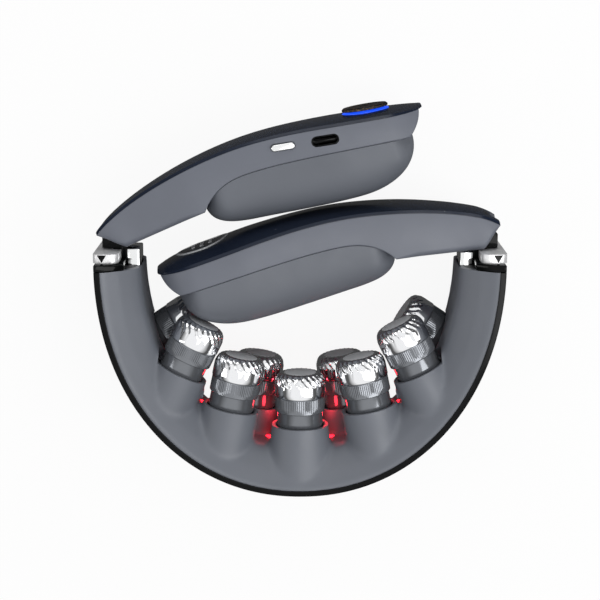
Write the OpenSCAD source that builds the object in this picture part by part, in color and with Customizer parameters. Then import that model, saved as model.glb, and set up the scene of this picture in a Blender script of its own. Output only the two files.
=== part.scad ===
// Folding neck massager: a U-shaped body with nine sprung massage heads and two
// folding arms with soft pads. It lies on its side: Z runs across the neck band,
// and the opening of the U points along +Y. The front is the side towards +Z.

/* [Body] */
// Half width of the U at its open ends
body_half_w = 68.0; // [66:0.5:70]
// Height of the U's curve, from its widest line down
body_h = 79.3; // [78:0.1:82]
// Squareness of the U's curve, where 2 is a plain ellipse
body_power = 2.1; // [2:0.05:2.2]
// Height of the U's widest line above the middle of the pads
body_rise = 16.0; // [15.5:0.1:16.5]
// Length cut off both ends of the U, below its widest line
end_drop = 2.7; // [2.3:0.1:3.1]
// Depth of the body across the neck band
body_depth = 45.0; // [44:0.5:48]
// Wall of the glossy outer shell
shell_wall = 2.0; // [1.6:0.1:2.2]
// Thickness of the body from its outer face to its inner wall
body_thick = 14.7; // [14.5:0.1:15.5]
// Depth of the inner wall across the neck band
inner_depth = 22.0; // [20:0.5:24]
// Wall of the silicone skin
skin_wall = 1.8; // [1.4:0.1:2.2]

/* [Massage heads] */
// Radius of a head's chrome dome
dome_r = 8.6; // [8.2:0.1:8.8]
// Height of a dome above its collar
dome_h = 8.1; // [7.5:0.1:8.6]
// Radius of the flat disc on top of a dome
disc_r = 5.6; // [4.8:0.1:6.2]
// Height of a dome's straight side
dome_side = 4.0; // [2:0.1:4]
// Wall of a dome
dome_wall = 1.4; // [1:0.1:1.6]
// Radius of a head's ribbed collar
collar_r = 8.4; // [8:0.1:8.6]
// Height of a ribbed collar
collar_h = 5.3; // [4.6:0.1:5.6]
// Radius of the smooth sleeve that slides in its well
sleeve_r = 7.7; // [7.3:0.1:7.8]
// Wall of a sleeve
sleeve_wall = 1.4; // [1:0.1:1.8]
// Length of sleeve that shows above the mouth of its well
sleeve_out = 4.8; // [4.2:0.1:5.4]
// Length of sleeve inside its well
sleeve_in = 5.0; // [4.6:0.1:5.4]
// Gap around a sleeve in its well
well_gap = 0.4; // [0.3:0.05:0.5]
// Travel of a head when it is pressed
head_travel = 2.5; // [1.5:0.1:2.6]
// Height of the rubber stop ring under a head
stop_h = 2.6; // [2:0.1:3]
// Clearance between a pressed head and its stop ring
stop_gap = 0.3; // [0.2:0.05:0.4]
// Wall of the plastic cup around a well
cup_wall = 0.9; // [0.8:0.05:1]
// Skin over the cup at the mouth of a well
mouth_skin = 0.5; // [0.4:0.05:0.6]
// Length of the skin's boss around a well
boss_len = 18.0; // [16:0.5:19]
// Distance of each row of heads from the middle plane
row_offset = 9.3; // [9.2:0.1:9.6]
// Depth of the middle head's mouth below the middle of the pads
head_c_depth = 41.3; // [41:0.1:41.6]
// Sideways place of the second heads
head_b_x = 23.6; // [23.4:0.1:23.8]
// Depth of the second heads' mouths
head_b_depth = 35.2; // [35:0.1:35.5]
// Lean of the second heads
head_b_lean = 12; // [10:0.5:13]
// Sideways place of the third heads
head_a_x = 40.5; // [40.3:0.1:40.7]
// Depth of the third heads' mouths
head_a_depth = 22.5; // [22.3:0.1:22.7]
// Lean of the third heads
head_a_lean = 26; // [25:0.5:27]
// Sideways place of the back row's inner heads
back_b_x = 16.5; // [16.2:0.1:16.8]
// Depth of the back row's inner heads' mouths
back_b_depth = 38.5; // [38.2:0.1:38.8]
// Lean of the back row's inner heads
back_b_lean = 9; // [8:0.5:10]
// Sideways place of the back row's outer heads
back_a_x = 50.4; // [50.2:0.1:50.6]
// Depth of the back row's outer heads' mouths
back_a_depth = 16.1; // [15.9:0.1:16.3]
// Lean of the back row's outer heads
back_a_lean = 56.4; // [55.5:0.1:57]
// How much shorter the wells of the back row's outer heads are
short_well = 1.2; // [1:0.1:1.4]
// Radius of the red lamp windows between the heads
lamp_r = 1.5; // [1.2:0.1:1.6]
// Length of a lamp window
lamp_len = 4.5; // [3.5:0.1:5]
// Sideways place of the inner lamps
lamp_x = 10.5; // [10.2:0.1:10.8]
// Sideways place of the outer lamps
lamp_outer_x = 33.5; // [33:0.1:34]

/* [Sliders and hinges] */
// Height of the black ring on each end of the U
ring_h = 2.5; // [2.2:0.1:2.6]
// Width of the end bands, from the outer face inwards
ring_w = 9.6; // [9:0.1:10]
// Height of the chrome cap on each ring
cap_h = 3.0; // [2.6:0.1:3.1]
// Width of a cap, from its outer side
cap_w = 8.5; // [8:0.1:8.8]
// How far a cap stands out beyond the body's side
cap_proud = 0.7; // [0.5:0.1:0.9]
// Half depth of a cap across the neck band
cap_half_z = 18.5; // [17:0.5:19]
// Distance of each hinge pin inwards from the body's side
hinge_in = 6.7; // [6.5:0.1:6.8]
// Height of the hinge pins above the middle of the pads
hinge_y = 26.4; // [26.4:0.1:26.7]
// Radius of a hinge pin
pin_r = 1.6; // [1.3:0.1:1.9]
// Radius of the round knuckle on a slider
knuckle_r = 4.4; // [4.3:0.1:4.5]
// Reach of the slider's plate outwards from the pin, below the knuckle
plate_out = 5.3; // [5.2:0.1:5.4]
// Half depth of a slider across the neck band
slider_half_z = 6.5; // [6:0.1:6.8]
// How far a tongue reaches to the outer side of its pin
tongue_out = 1.6; // [1.2:0.1:1.8]
// How far a tongue reaches to the inner side of its pin
tongue_in = 2.9; // [2.6:0.1:3.1]
// Width of the chrome strip beside each tongue
strip_w = 4.4; // [4:0.1:4.5]
// Length of a tongue inside the body
tongue_len = 19.0; // [16:0.5:19.2]
// Travel of each slider
slide_travel = 12.0; // [6:0.5:12]
// Gap between a slider's shoulder and its cap
shoulder_gap = 0.3; // [0.2:0.05:0.5]
// Clearance around a running pin
pin_clearance = 0.05; // [0.03:0.01:0.1]
// Clearance beside a sliding or swinging piece
side_gap = 0.3; // [0.2:0.05:0.4]

/* [Arms] */
// Length of the left arm from its pin to its tip
arm_len = 109.5; // [108.5:0.5:110.5]
// Length of the right arm from its pin to its tip
right_arm_len = 110.8; // [109:0.1:111]
// Half width of an arm near its tip
arm_half_w = 18.0; // [17:0.5:18.5]
// Half width of an arm at its hinge
hinge_half_w = 12.0; // [11:0.5:13]
// Radius of an arm's tip, seen from above the cover
tip_r = 14.0; // [12:0.5:16]
// Distance from the pin to the top of an arm's arch
arch_s = 44.0; // [42:0.5:46]
// Height of the arch where the cover meets the casing
arch_y = 10.9; // [10.7:0.1:11]
// Height of the cover's rim line at the tip
tip_y = 1.3; // [1.2:0.1:1.5]
// Length of an arm behind its pin
root_len = 7.0; // [6.5:0.1:7]
// Length of the left arm behind its pin
left_root_len = 7.2; // [7:0.1:7.4]
// Length of the right arm behind its pin
right_root_len = 5.8; // [5.6:0.1:6]
// Depth of an arm's underside below its pin
root_drop = 7.1; // [6.8:0.1:7.2]
// Wall of an arm's casing
case_wall = 1.8; // [1.4:0.1:2.2]
// Thickness of a cover at its rim
cover_rim = 0.9; // [0.7:0.1:1.1]
// Wall of a cover under its crown
cover_wall = 1.3; // [1:0.1:1.5]
// Crown of the left cover above its rim
left_crown = 1.2; // [1.1:0.1:1.4]
// Crown of the right cover above its rim
right_crown = 3.4; // [3:0.1:3.6]
// Angle of the folded left arm above the level line
left_rest = 20.9; // [20.8:0.1:21.4]
// Angle of the folded right arm below the level line
right_rest = 9.0; // [9:0.1:9.5]
// Distance from the pin to the start of a pad
pad_start = 30.0; // [29:0.5:31]
// Depth of a pad's lowest point below the pin
pad_drop = 20.0; // [18.5:0.1:20.2]
// Joint between a pad and its casing
pad_gap = 0.1; // [0.05:0.05:0.2]
// Thickness of a heater plate
heater_h = 0.8; // [0.5:0.1:1]
// Half width of a heater plate
heater_half_w = 10.0; // [8:0.5:12]

/* [Controls] */
// Distance of the dial from the left arm's tip
dial_to_tip = 18.1; // [17.5:0.1:18.5]
// Radius of the dial
dial_r = 7.8; // [7.5:0.1:8]
// Height of the dial
dial_h = 1.2; // [1.2:0.1:2]
// Travel of the dial when it is pressed
dial_travel = 0.4; // [0.3:0.1:0.4]
// Gap between the dial and the light ring under it
dial_gap = 0.6; // [0.6:0.1:1]
// Radius of the light ring under the dial
glow_r = 8.0; // [7.9:0.1:8.4]
// How far the light ring stands out of the cover
glow_proud = 0.1; // [0.05:0.05:0.15]
// Radius of the dial's stem
stem_r = 1.5; // [1.2:0.1:1.8]
// Width and length of the turning switch under the dial
switch_w = 9.0; // [8:0.5:10]
// Distance of the charging port from the left arm's tip
port_to_tip = 33.8; // [33:0.1:34.5]
// Height of the charging port above the line through the hinge
port_y = 3.3; // [3.1:0.1:3.5]
// Outer width of the port's metal shell
port_w = 8.94; // [8.9:0.02:9]
// Outer height of the port's metal shell
port_h = 3.26; // [3.2:0.02:3.3]
// Depth of the port's metal shell
port_len = 7.3; // [7:0.1:7.5]
// Distance of the side button from the left arm's tip
button_to_tip = 47.5; // [47:0.1:48]
// Height of the side button above the line through the hinge
button_y = 6.2; // [6:0.1:6.4]
// Length of the side button
button_w = 8.0; // [7.5:0.1:8.5]
// Height of the side button
button_h = 2.4; // [2.2:0.1:2.6]
// How far the side button stands out
button_proud = 1.2; // [1:0.1:1.4]
// Travel of the side button
button_travel = 0.8; // [0.5:0.1:0.9]
// Thickness of the circuit board
board_h = 1.2; // [1:0.1:1.6]
// Thickness of the battery
battery_h = 4.6; // [4:0.1:5]
// Distance of the round emblem from the right arm's tip
emblem_to_tip = 16.2; // [15.8:0.1:16.8]
// Outer radius of the round emblem
emblem_r = 9.35; // [9:0.05:9.5]
// Width of the emblem's ring
emblem_w = 1.1; // [0.8:0.1:1.4]

/* [Hidden] */
$fn = 64;
LEFT = -1;
RIGHT = 1;

// Colours
silicone_grey = "#6b7078";
case_grey = "#686d76";
pad_grey = "#5f646c";
cover_navy = "#1c2433";
chrome_grey = "#c9ccd1";
gloss_black = "#141518";
plain_black = "#202225";
collar_grey = "#5f6368";
disc_grey = "#9a9da2";
glow_blue = "#2a5bd0";
lamp_red = "#d0202c";
board_green = "#1d5a3a";
foil_orange = "#b5651d";
mark_white = "#e8e8e8";

// Places that follow the body and the arms
hinge_x = body_half_w - hinge_in;
dial_s = arm_len - dial_to_tip;
port_s = arm_len - port_to_tip;
button_s = arm_len - button_to_tip;
emblem_s = right_arm_len - emblem_to_tip;

// Heights along Y
end_y = body_rise - end_drop;
ring_top = end_y + ring_h;
cap_top = ring_top + cap_h;

// Round curve through four control points, cut into n straight pieces
function curve(p0, p1, p2, p3, n) = [
  for (i = [0:n]) let (t = i / n, u = 1 - t)
    u * u * u * p0 + 3 * u * u * t * p1 + 3 * u * t * t * p2 + t * t * t * p3
];
function rest(list) = [for (i = [1:1:len(list) - 1]) list[i]];
function backwards(list) = [for (i = [len(list) - 1:-1:0]) list[i]];

// The U: rings of one family, each set in by k from the outer face
u_stations = 48;
inset_share = 0.94;
function u_half_w(k) = body_half_w - k;
function u_height(k) = body_h - k * inset_share;
function u_start(k) = asin(pow((body_rise - end_y) / u_height(k), body_power / 2));
function u_point(k, turn) = [
  u_half_w(k) * sign(cos(turn)) * pow(abs(cos(turn)), 2 / body_power),
  body_rise - u_height(k) * pow(abs(sin(turn)), 2 / body_power)
];
function u_turn(k, i) = let (a = u_start(k)) a + (180 - 2 * a) * i / u_stations;
function u_line(k) = [for (i = [0:u_stations]) u_point(k, u_turn(k, i))];
// Height of the U's ring k at the sideways place x
function u_y(k, x) = body_rise
  - u_height(k) * pow(1 - pow(abs(x) / u_half_w(k), body_power), 1 / body_power);

// Solid swept along the U with a closed section of [inset, z] pairs
module u_sweep(section) {
  m = len(section);
  points = [for (i = [0:u_stations]) for (s = section)
    let (p = u_point(s[0], u_turn(s[0], i))) [p[0], p[1], s[1]]];
  sides = [for (i = [0:u_stations - 1]) for (j = [0:m - 1])
    let (a = i * m + j, b = i * m + (j + 1) % m) each [[a, b, b + m], [a, b + m, a + m]]];
  first = [[for (j = [m - 1:-1:0]) j]];
  last = [[for (j = [0:m - 1]) u_stations * m + j]];
  polyhedron(points, concat(sides, first, last), convexity = 6);
}
module u_wall(k_out, k_in, half_z) {
  translate([0, 0, -half_z])
    linear_extrude(2 * half_z, convexity = 4)
      polygon(concat(u_line(k_out), backwards(u_line(k_in))));
}

// Heads: sideways place, depth of the mouth, lean, row, shortening of the well
head_list = [
  [-head_a_x, head_a_depth, -head_a_lean, 1, 0],
  [-head_b_x, head_b_depth, -head_b_lean, 1, 0],
  [0, head_c_depth, 0, 1, 0],
  [head_b_x, head_b_depth, head_b_lean, 1, 0],
  [head_a_x, head_a_depth, head_a_lean, 1, 0],
  [-back_a_x, back_a_depth, -back_a_lean, -1, short_well],
  [-back_b_x, back_b_depth, -back_b_lean, -1, 0],
  [back_b_x, back_b_depth, back_b_lean, -1, 0],
  [back_a_x, back_a_depth, back_a_lean, -1, short_well]
];
well_r = sleeve_r + well_gap;
cup_r = well_r + cup_wall;
well_floor = 0.8;
// Cuts run this far past the piece that they open, or a little way past it
cut_reach = 20;
cut_over = 2;
function sleeve_below(i) = sleeve_in - head_list[i][4];
function well_depth(i) = sleeve_below(i) + head_travel + stop_gap + stop_h - head_list[i][4];
module at_head(i) {
  translate([head_list[i][0], -head_list[i][1], head_list[i][3] * row_offset])
    rotate([0, 0, head_list[i][2]])
      rotate([-90, 0, 0])
        children();
}
module well_bores() {
  for (i = [0:8])
    at_head(i) {
      translate([0, 0, -well_depth(i)])
        cylinder(h = well_depth(i) + cut_reach, r = well_r);
      translate([0, 0, sleeve_out - head_travel - well_gap])
        cylinder(h = cut_reach, r = collar_r + well_gap);
    }
}
module well_cups() {
  for (i = [0:8])
    at_head(i)
      translate([0, 0, -well_depth(i) - well_floor])
        cylinder(h = well_depth(i) + well_floor - mouth_skin, r = cup_r);
}

// Moves everything from the pads' middle to the middle of the underside
function turned(p, a) = [p[0] * cos(a) - p[1] * sin(a), p[0] * sin(a) + p[1] * cos(a)];
module placed() {
  translate([0, -y_middle, body_depth / 2])
    children();
}

// Arm outlines, measured from the hinge pin: s runs to the tip, y towards the cover
arch_pull = 22;
rim_line = concat(
  curve([-root_len, 0], [0, 0.48 * arch_y], [arch_s - arch_pull, arch_y], [arch_s, arch_y], 14),
  rest(curve([arch_s, arch_y], [arch_s + arch_pull, arch_y], [arm_len - 24, tip_y + 3],
    [arm_len - 1.5, tip_y], 16)));
tip_line = curve([arm_len - 1.5, tip_y], [arm_len - 2.2, -1.5], [arm_len - 4.5, -4],
  [arm_len - 7.4, -5.8], 5);
seam_high_s = 46;
seam_high_y = 1.9;
seam_root_y = -5.2;
seam_line = concat(
  curve([arm_len - 7.4, -5.8], [seam_high_s + 38, -3], [seam_high_s + 14, seam_high_y],
    [seam_high_s, seam_high_y], 12),
  rest(curve([seam_high_s, seam_high_y], [seam_high_s - 8, seam_high_y],
    [pad_start + 3, seam_root_y + 3.7], [pad_start, seam_root_y], 8)));
root_line = curve([0.8, -root_drop], [-2, -5], [-4.5, -2], [-root_len, 0], 6);
plan_line = [for (s = [-root_len:5:arm_len - tip_r]) s,
  for (a = [0:10:90]) arm_len - tip_r * (1 - sin(a))];
rim_points = [for (s = plan_line) if (s < arm_len - 1.6) [s, lookup(s, rim_line)]];
seam_up = backwards(seam_line);
// Outlines are drawn once: $stretch lengthens them from the pin to the tip, and $root behind it
$stretch = 1;
$root = 1;
function drawn(s) = s * (s < 0 ? $root : $stretch);
function plain(s) = s / (s < 0 ? $root : $stretch);
function stretched(points) = [for (p = points) [drawn(p[0]), p[1]]];
function plan_stations() = [for (s = plan_line) drawn(s)];
function case_outline() = stretched(concat(rim_points, tip_line, rest(seam_line),
  [for (i = [0:5]) root_line[i]]));
function rim_y(s) = lookup(plain(s), rim_line);
function seam_y(s) = lookup(plain(s), seam_up);
// Part of the arm's length, and how far its width has grown there
width_steps = [[0.05, 0], [0.24, 0.42], [0.41, 0.6], [0.73, 1]];
root_narrowing = 2.2;
function plain_half_w(s) = hinge_half_w
  + (arm_half_w - hinge_half_w) * lookup(s / arm_len, width_steps)
  - tip_r * (1 - sqrt(1 - pow(max(0, s - arm_len + tip_r) / tip_r, 2)))
  - root_narrowing * pow(max(0, -s) / root_len, 2);
function half_w(s) = plain_half_w(min(arm_len, plain(s)));
// The cover's crown grows from the root, and falls away towards the tip
crown_full_s = 78;
crown_fall_s = 95;
function plain_crown(s) = min(1, max(0.25, (s + root_len) / (crown_full_s + root_len)))
  * (s > crown_fall_s
    ? sqrt(max(0.05, 1 - pow((s - crown_fall_s) / (arm_len - crown_fall_s + 1), 2))) : 1);
function crown_at(s, crown) = crown * plain_crown(plain(s));
// The cover's edge thins towards the tip
rim_tip_part = 0.3;
rim_fall = 20;
function rim_h(s) = cover_rim * min(1, rim_tip_part + (arm_len - plain(s)) / rim_fall);
function cover_top(s, z, crown) = rim_y(s) + rim_h(s)
  + crown_at(s, crown) * (1 - pow(min(1, abs(z) / half_w(s)), 2.4));

// Highest point of the folded left arm and its dial, for the origin
slope_reach = 6;
dial_slope = atan2(rim_y(dial_s + slope_reach) - rim_y(dial_s - slope_reach), 2 * slope_reach);
dial_base = cover_top(dial_s, 0, left_crown);
dial_rise = dial_gap + dial_h;
dial_corner = turned([dial_r, dial_rise], dial_slope) + [dial_s, dial_base];
dial_back_corner = turned([-dial_r, dial_rise], dial_slope) + [dial_s, dial_base];
y_top = hinge_y + max(turned(dial_corner, left_rest)[1], turned(dial_back_corner, left_rest)[1]);
y_low = body_rise - body_h;
y_middle = (y_top + y_low) / 2;

// Puts an arm piece in its folded place. The right arm is the left one's mirror image.
module on_arm(side) {
  $stretch = side == LEFT ? 1 : right_arm_len / arm_len;
  $root = (side == LEFT ? left_root_len : right_root_len) / root_len;
  placed()
    translate([side * hinge_x, hinge_y, 0])
      rotate([0, 0, side == LEFT ? left_rest : right_rest])
        mirror([side == LEFT ? 0 : 1, 0, 0])
          children();
}
// Puts a slider piece in its place, with x measured inwards from the pin
module on_side(side) {
  placed()
    translate([side * hinge_x, hinge_y, 0])
      mirror([side == LEFT ? 0 : 1, 0, 0])
        children();
}

module outer_shell() {
  color(gloss_black)
    placed()
      u_wall(0, shell_wall, body_depth / 2);
}

// Section of the skin's outside, from the shell round the front, inner wall and back
rim_step = 0.3;
half_top = body_depth / 2 - rim_step;
half_inner = inner_depth / 2;
// Its rounding is given as parts of the thickness and drops from the top
section_steps = [[0.27, 0.8], [0.54, 3.4], [0.8, 6.8]];
inner_part = 0.94;
inner_rise = 2.2;
function section_half(x_start) = concat(
  [[x_start, half_top]],
  [for (p = section_steps) [p[0] * body_thick, half_top - p[1]]],
  [[inner_part * body_thick, half_inner + inner_rise], [body_thick, half_inner]]);
skin_half = section_half(shell_wall);
chassis_half = [for (p = skin_half) [
  max(shell_wall, p[0] - skin_wall * (p[0] / body_thick)), p[1] - skin_wall]];
function whole(half) = concat([for (p = half) [p[0], -p[1]]], backwards(half));

module chassis_core() {
  u_sweep(whole(chassis_half));
  well_cups();
}
module channel(side) {
  translate([side * hinge_x, 0, 0])
    mirror([side == LEFT ? 0 : 1, 0, 0])
      translate([-tongue_out - side_gap, end_y - tongue_len - side_gap, -slider_half_z - side_gap])
        cube([tongue_out + tongue_in + strip_w + 2 * side_gap, tongue_len + cut_reach,
          2 * (slider_half_z + side_gap)]);
}
// The bosses of the short wells stop before the outer shell
short_boss_cut = 7;
boss_flare = 1.1;
function boss_below(i) = boss_len - (head_list[i][4] > 0 ? short_boss_cut : 0);
module silicone_skin() {
  color(silicone_grey)
    placed()
      difference() {
        intersection() {
          union() {
            u_sweep(whole(skin_half));
            for (i = [0:8])
              at_head(i)
                translate([0, 0, -boss_below(i)])
                  cylinder(h = boss_below(i), r1 = cup_r + boss_flare, r2 = cup_r + mouth_skin);
          }
          linear_extrude(body_depth, center = true)
            polygon(u_line(shell_wall));
        }
        chassis_core();
        well_bores();
        lamp_holes();
        channel(LEFT);
        channel(RIGHT);
      }
}

// Lamps: red windows in the inner wall, square to it, on the middle plane
lamp_places = [-lamp_outer_x, -lamp_x, lamp_x, lamp_outer_x];
function wall_lean(x) = atan2(u_y(body_thick, x + 0.5) - u_y(body_thick, x - 0.5), 1);
module at_lamp(x) {
  translate([x, u_y(body_thick, x), 0])
    rotate([0, 0, wall_lean(x)])
      rotate([-90, 0, 0])
        children();
}
module lamp_holes() {
  for (x = lamp_places)
    at_lamp(x)
      translate([0, 0, -lamp_len])
        cylinder(h = lamp_len + cut_over, r = lamp_r);
}
module lamp_windows() {
  color(lamp_red)
    placed()
      for (x = lamp_places)
        at_lamp(x)
          translate([0, 0, -lamp_len])
            cylinder(h = lamp_len, r = lamp_r);
}

// Board for the lamps, along the outer shell under the front row's wells
strip_gap = 2.2;
strip_out = shell_wall + strip_gap;
strip_half_x = 34;
strip_low_z = -2;
strip_high_z = 14;
module strip_shape(grow) {
  intersection() {
    translate([0, 0, strip_low_z - grow])
      linear_extrude(strip_high_z - strip_low_z + 2 * grow, convexity = 4)
        polygon(concat(u_line(strip_out - grow), backwards(u_line(strip_out + board_h + grow))));
    translate([-strip_half_x - grow, y_low, -body_depth])
      cube([2 * (strip_half_x + grow), body_h, 2 * body_depth]);
  }
}
lamp_board_rise = 30;
module lamp_board() {
  color(board_green)
    placed()
      intersection() {
        strip_shape(0);
        translate([-body_half_w, y_low, -body_depth])
          cube([2 * body_half_w, lamp_board_rise, 2 * body_depth]);
      }
}

// Vibration motor, between the back row's inner wells
motor_r = 4.0;
motor_len = 8;
motor_high_z = -4;
motor_below = 15.4;
motor_depth = head_c_depth + motor_below;
module motor_shape(grow) {
  translate([0, -motor_depth, motor_high_z - motor_len - grow])
    cylinder(h = motor_len + 2 * grow, r = motor_r + grow);
}
module vibration_motor() {
  color(chrome_grey)
    placed()
      motor_shape(0);
}

pocket_gap = 0.1;
module chassis() {
  color(plain_black)
    placed()
      difference() {
        intersection() {
          chassis_core();
          linear_extrude(body_depth, center = true)
            polygon(u_line(shell_wall));
        }
        well_bores();
        lamp_holes();
        channel(LEFT);
        channel(RIGHT);
        strip_shape(pocket_gap);
        motor_shape(pocket_gap);
      }
}

// Massage heads
stop_r = 5.6;
stop_wall = 1.6;
module head_stops() {
  color(plain_black)
    placed()
      for (i = [0:8])
        at_head(i)
          translate([0, 0, -well_depth(i)])
            difference() {
              cylinder(h = stop_h - head_list[i][4], r = stop_r);
              translate([0, 0, -1])
                cylinder(h = stop_h + 2, r = stop_r - stop_wall);
            }
}
collar_chamfer = 0.4;
module sleeve(i) {
  color(collar_grey)
    placed()
      at_head(i)
        rotate_extrude()
          polygon([
            [0, -sleeve_below(i)],
            [sleeve_r, -sleeve_below(i)],
            [sleeve_r, sleeve_out],
            [collar_r - collar_chamfer, sleeve_out],
            [collar_r, sleeve_out + collar_chamfer],
            [collar_r, sleeve_out + collar_h - collar_chamfer],
            [collar_r - collar_chamfer, sleeve_out + collar_h],
            [sleeve_r - sleeve_wall, sleeve_out + collar_h],
            [sleeve_r - sleeve_wall, -sleeve_below(i) + sleeve_wall],
            [0, -sleeve_below(i) + sleeve_wall]
          ]);
}
dome_edge = 0.3;
shoulder_pull = 1.6;
shoulder_line = curve([dome_r, dome_side], [dome_r, dome_h - shoulder_pull],
  [disc_r + shoulder_pull, dome_h - dome_edge], [disc_r, dome_h], 8);
module dome(i) {
  color(chrome_grey)
    placed()
      at_head(i)
        translate([0, 0, sleeve_out + collar_h])
          rotate_extrude()
            polygon(concat(
              [[dome_r - dome_edge, 0], [dome_r, dome_edge]],
              shoulder_line,
              [[0, dome_h], [0, dome_h - dome_wall], [disc_r - dome_edge, dome_h - dome_wall],
                [dome_r - dome_wall, dome_side], [dome_r - dome_wall, 0]]));
}

// Ends of the U
module end_ring(side) {
  color(gloss_black)
    placed()
      difference() {
        translate([0, end_y, 0])
          rotate([-90, 0, 0])
            linear_extrude(ring_h)
              intersection() {
                polygon([for (p = whole(section_half(0))) [side * (body_half_w - p[0]), p[1]]]);
                translate([side * (body_half_w - ring_w / 2), 0])
                  square([ring_w, 2 * body_depth], center = true);
              }
        channel(side);
      }
}
cap_round = 2.6;
mark_w = 3.0;
mark_h = 2.5;
mark_depth = 0.3;
mark_inset = 3.1;
module mark_shape(side, depth) {
  translate([side * (body_half_w + cap_proud - mark_inset), ring_top + (cap_h - mark_h) / 2,
    cap_half_z - depth])
    linear_extrude(depth + 0.02)
      polygon([[-mark_w / 2, mark_h], [mark_w / 2, mark_h], [0, 0]]);
}
module cap_block(side) {
  x_out = body_half_w + cap_proud;
  translate([side * (x_out - cap_w / 2), ring_top, 0]) {
    translate([-cap_w / 2, 0, -cap_half_z + cap_round])
      cube([cap_w, cap_h, 2 * (cap_half_z - cap_round)]);
    translate([-cap_w / 2 + cap_round, 0, -cap_half_z])
      cube([cap_w - 2 * cap_round, cap_h, 2 * cap_half_z]);
    for (a = [-1, 1])
      for (b = [-1, 1])
        translate([a * (cap_w / 2 - cap_round), 0, b * (cap_half_z - cap_round)])
          rotate([-90, 0, 0])
            cylinder(h = cap_h, r = cap_round);
  }
}
module end_cap(side) {
  color(chrome_grey)
    placed()
      difference() {
        cap_block(side);
        channel(side);
        mark_shape(side, mark_depth);
      }
}
module index_mark(side) {
  color(gloss_black)
    placed()
      mark_shape(side, mark_depth);
}

// Sliders, with x measured inwards from the pin
shoulder_y = cap_top + shoulder_gap - hinge_y;
tongue_low = end_y - tongue_len - hinge_y;
left_strip_room = 0.3;
right_strip_room = 1.4;
function strip_top(side) = -root_drop - (side == LEFT ? left_strip_room : right_strip_room);
plate_drop = 2.5;
module slider(side) {
  color(gloss_black)
    on_side(side)
      difference() {
        union() {
          translate([-tongue_out, tongue_low, -slider_half_z])
            cube([tongue_out + tongue_in, -tongue_low, 2 * slider_half_z]);
          translate([-knuckle_r, shoulder_y, -slider_half_z])
            cube([knuckle_r + tongue_in, -shoulder_y, 2 * slider_half_z]);
          translate([-plate_out, shoulder_y, -slider_half_z])
            cube([plate_out, -shoulder_y - plate_drop, 2 * slider_half_z]);
          cylinder(h = 2 * slider_half_z, r = knuckle_r, center = true);
        }
        cylinder(h = 4 * slider_half_z, r = pin_r, center = true);
        tick_cuts();
      }
}
module slider_strip(side) {
  color(chrome_grey)
    on_side(side)
      translate([tongue_in, tongue_low, -slider_half_z])
        cube([strip_w, strip_top(side) - tongue_low, 2 * slider_half_z]);
}
tick_w = 2.4;
tick_h = 0.5;
tick_depth = 0.2;
tick_step = 3;
tick_x = 0.8;
tick_first = 4;
tick_count = 5;
module tick_cuts() {
  for (i = [0:tick_count - 1])
    translate([tick_x - tick_w / 2, tongue_low + tick_first + i * tick_step,
      slider_half_z - tick_depth])
      cube([tick_w, tick_h, tick_depth + 0.02]);
}
module size_marks(side) {
  color(mark_white)
    on_side(side)
      tick_cuts();
}
pin_half = 10.2;
module hinge_pin(side) {
  color(chrome_grey)
    on_side(side)
      cylinder(h = 2 * pin_half, r = pin_r, center = true);
}

// Arms, in the frame that on_arm places
slot_half_z = slider_half_z + side_gap;
slot_r = sqrt(tongue_in * tongue_in + shoulder_y * shoulder_y) + side_gap;
slot_rise = 4;
module hinge_slot() {
  intersection() {
    cylinder(h = 2 * slot_half_z, r = slot_r, center = true);
    translate([-slot_r, -slot_r, -slot_half_z])
      cube([2 * slot_r, slot_r + tick_x, 2 * slot_half_z]);
  }
  cylinder(h = 2 * slot_half_z, r = knuckle_r + side_gap, center = true);
  translate([-2 * root_len, -root_drop - 1, -slot_half_z])
    cube([2 * root_len + side_gap, root_drop + knuckle_r + slot_rise, 2 * slot_half_z]);
}
// Wider than any arm piece
arm_span = 80;
module plan_block(inset) {
  rotate([90, 0, 0])
    linear_extrude(arm_span, center = true, convexity = 4)
      polygon(concat([for (s = plan_stations()) [s, half_w(s) - inset]],
        backwards([for (s = plan_stations()) [s, inset - half_w(s)]])));
}
pocket_start = 14;
pocket_end = arm_len - 7;
// Rise of the casing's underside for each mm from the root to the pad
root_rise = 0.065;
function case_floor(s) = (s < pad_start * $stretch ? root_rise * s - root_drop : seam_y(s))
  + case_wall + heater_h;
pocket_line = [for (s = [pocket_start:4:pocket_end]) s];
module case_pocket() {
  intersection() {
    linear_extrude(arm_span, center = true, convexity = 4)
      polygon(concat([for (s = pocket_line) [s, case_floor(s)]],
        backwards([for (s = pocket_line) [s, rim_y(s) + cut_over]])));
    plan_block(case_wall);
  }
}
heater_start = 48;
heater_end = 93;
function heater_line() = stretched([for (p = seam_up)
  if (p[0] > heater_start && p[0] < heater_end) p]);
module heater_shape(below) {
  linear_extrude(2 * heater_half_w, center = true, convexity = 4)
    polygon(concat([for (p = heater_line()) [p[0], p[1] - below]],
      backwards([for (p = heater_line()) [p[0], p[1] + heater_h]])));
}
module pill(w, h, len) {
  translate([-(w - h) / 2, -h / 2, 0])
    cube([w - h, h, len]);
  for (a = [-1, 1])
    translate([a * (w - h) / 2, 0, 0])
      cylinder(h = len, r = h / 2);
}
side_tilt = -11.5;
port_gap = 0.23;
port_recess = 0.3;
module at_port() {
  translate([port_s, port_y, half_w(port_s) - port_recess - port_len])
    rotate([0, 0, side_tilt])
      children();
}
button_gap = 0.15;
button_flange = 0.8;
flange_room = 0.2;
button_back = half_w(button_s - button_w / 2) - case_wall - flange_room;
button_front = half_w(button_s) + button_proud;
module at_button() {
  translate([button_s, button_y, 0])
    rotate([0, 0, side_tilt])
      children();
}
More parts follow.
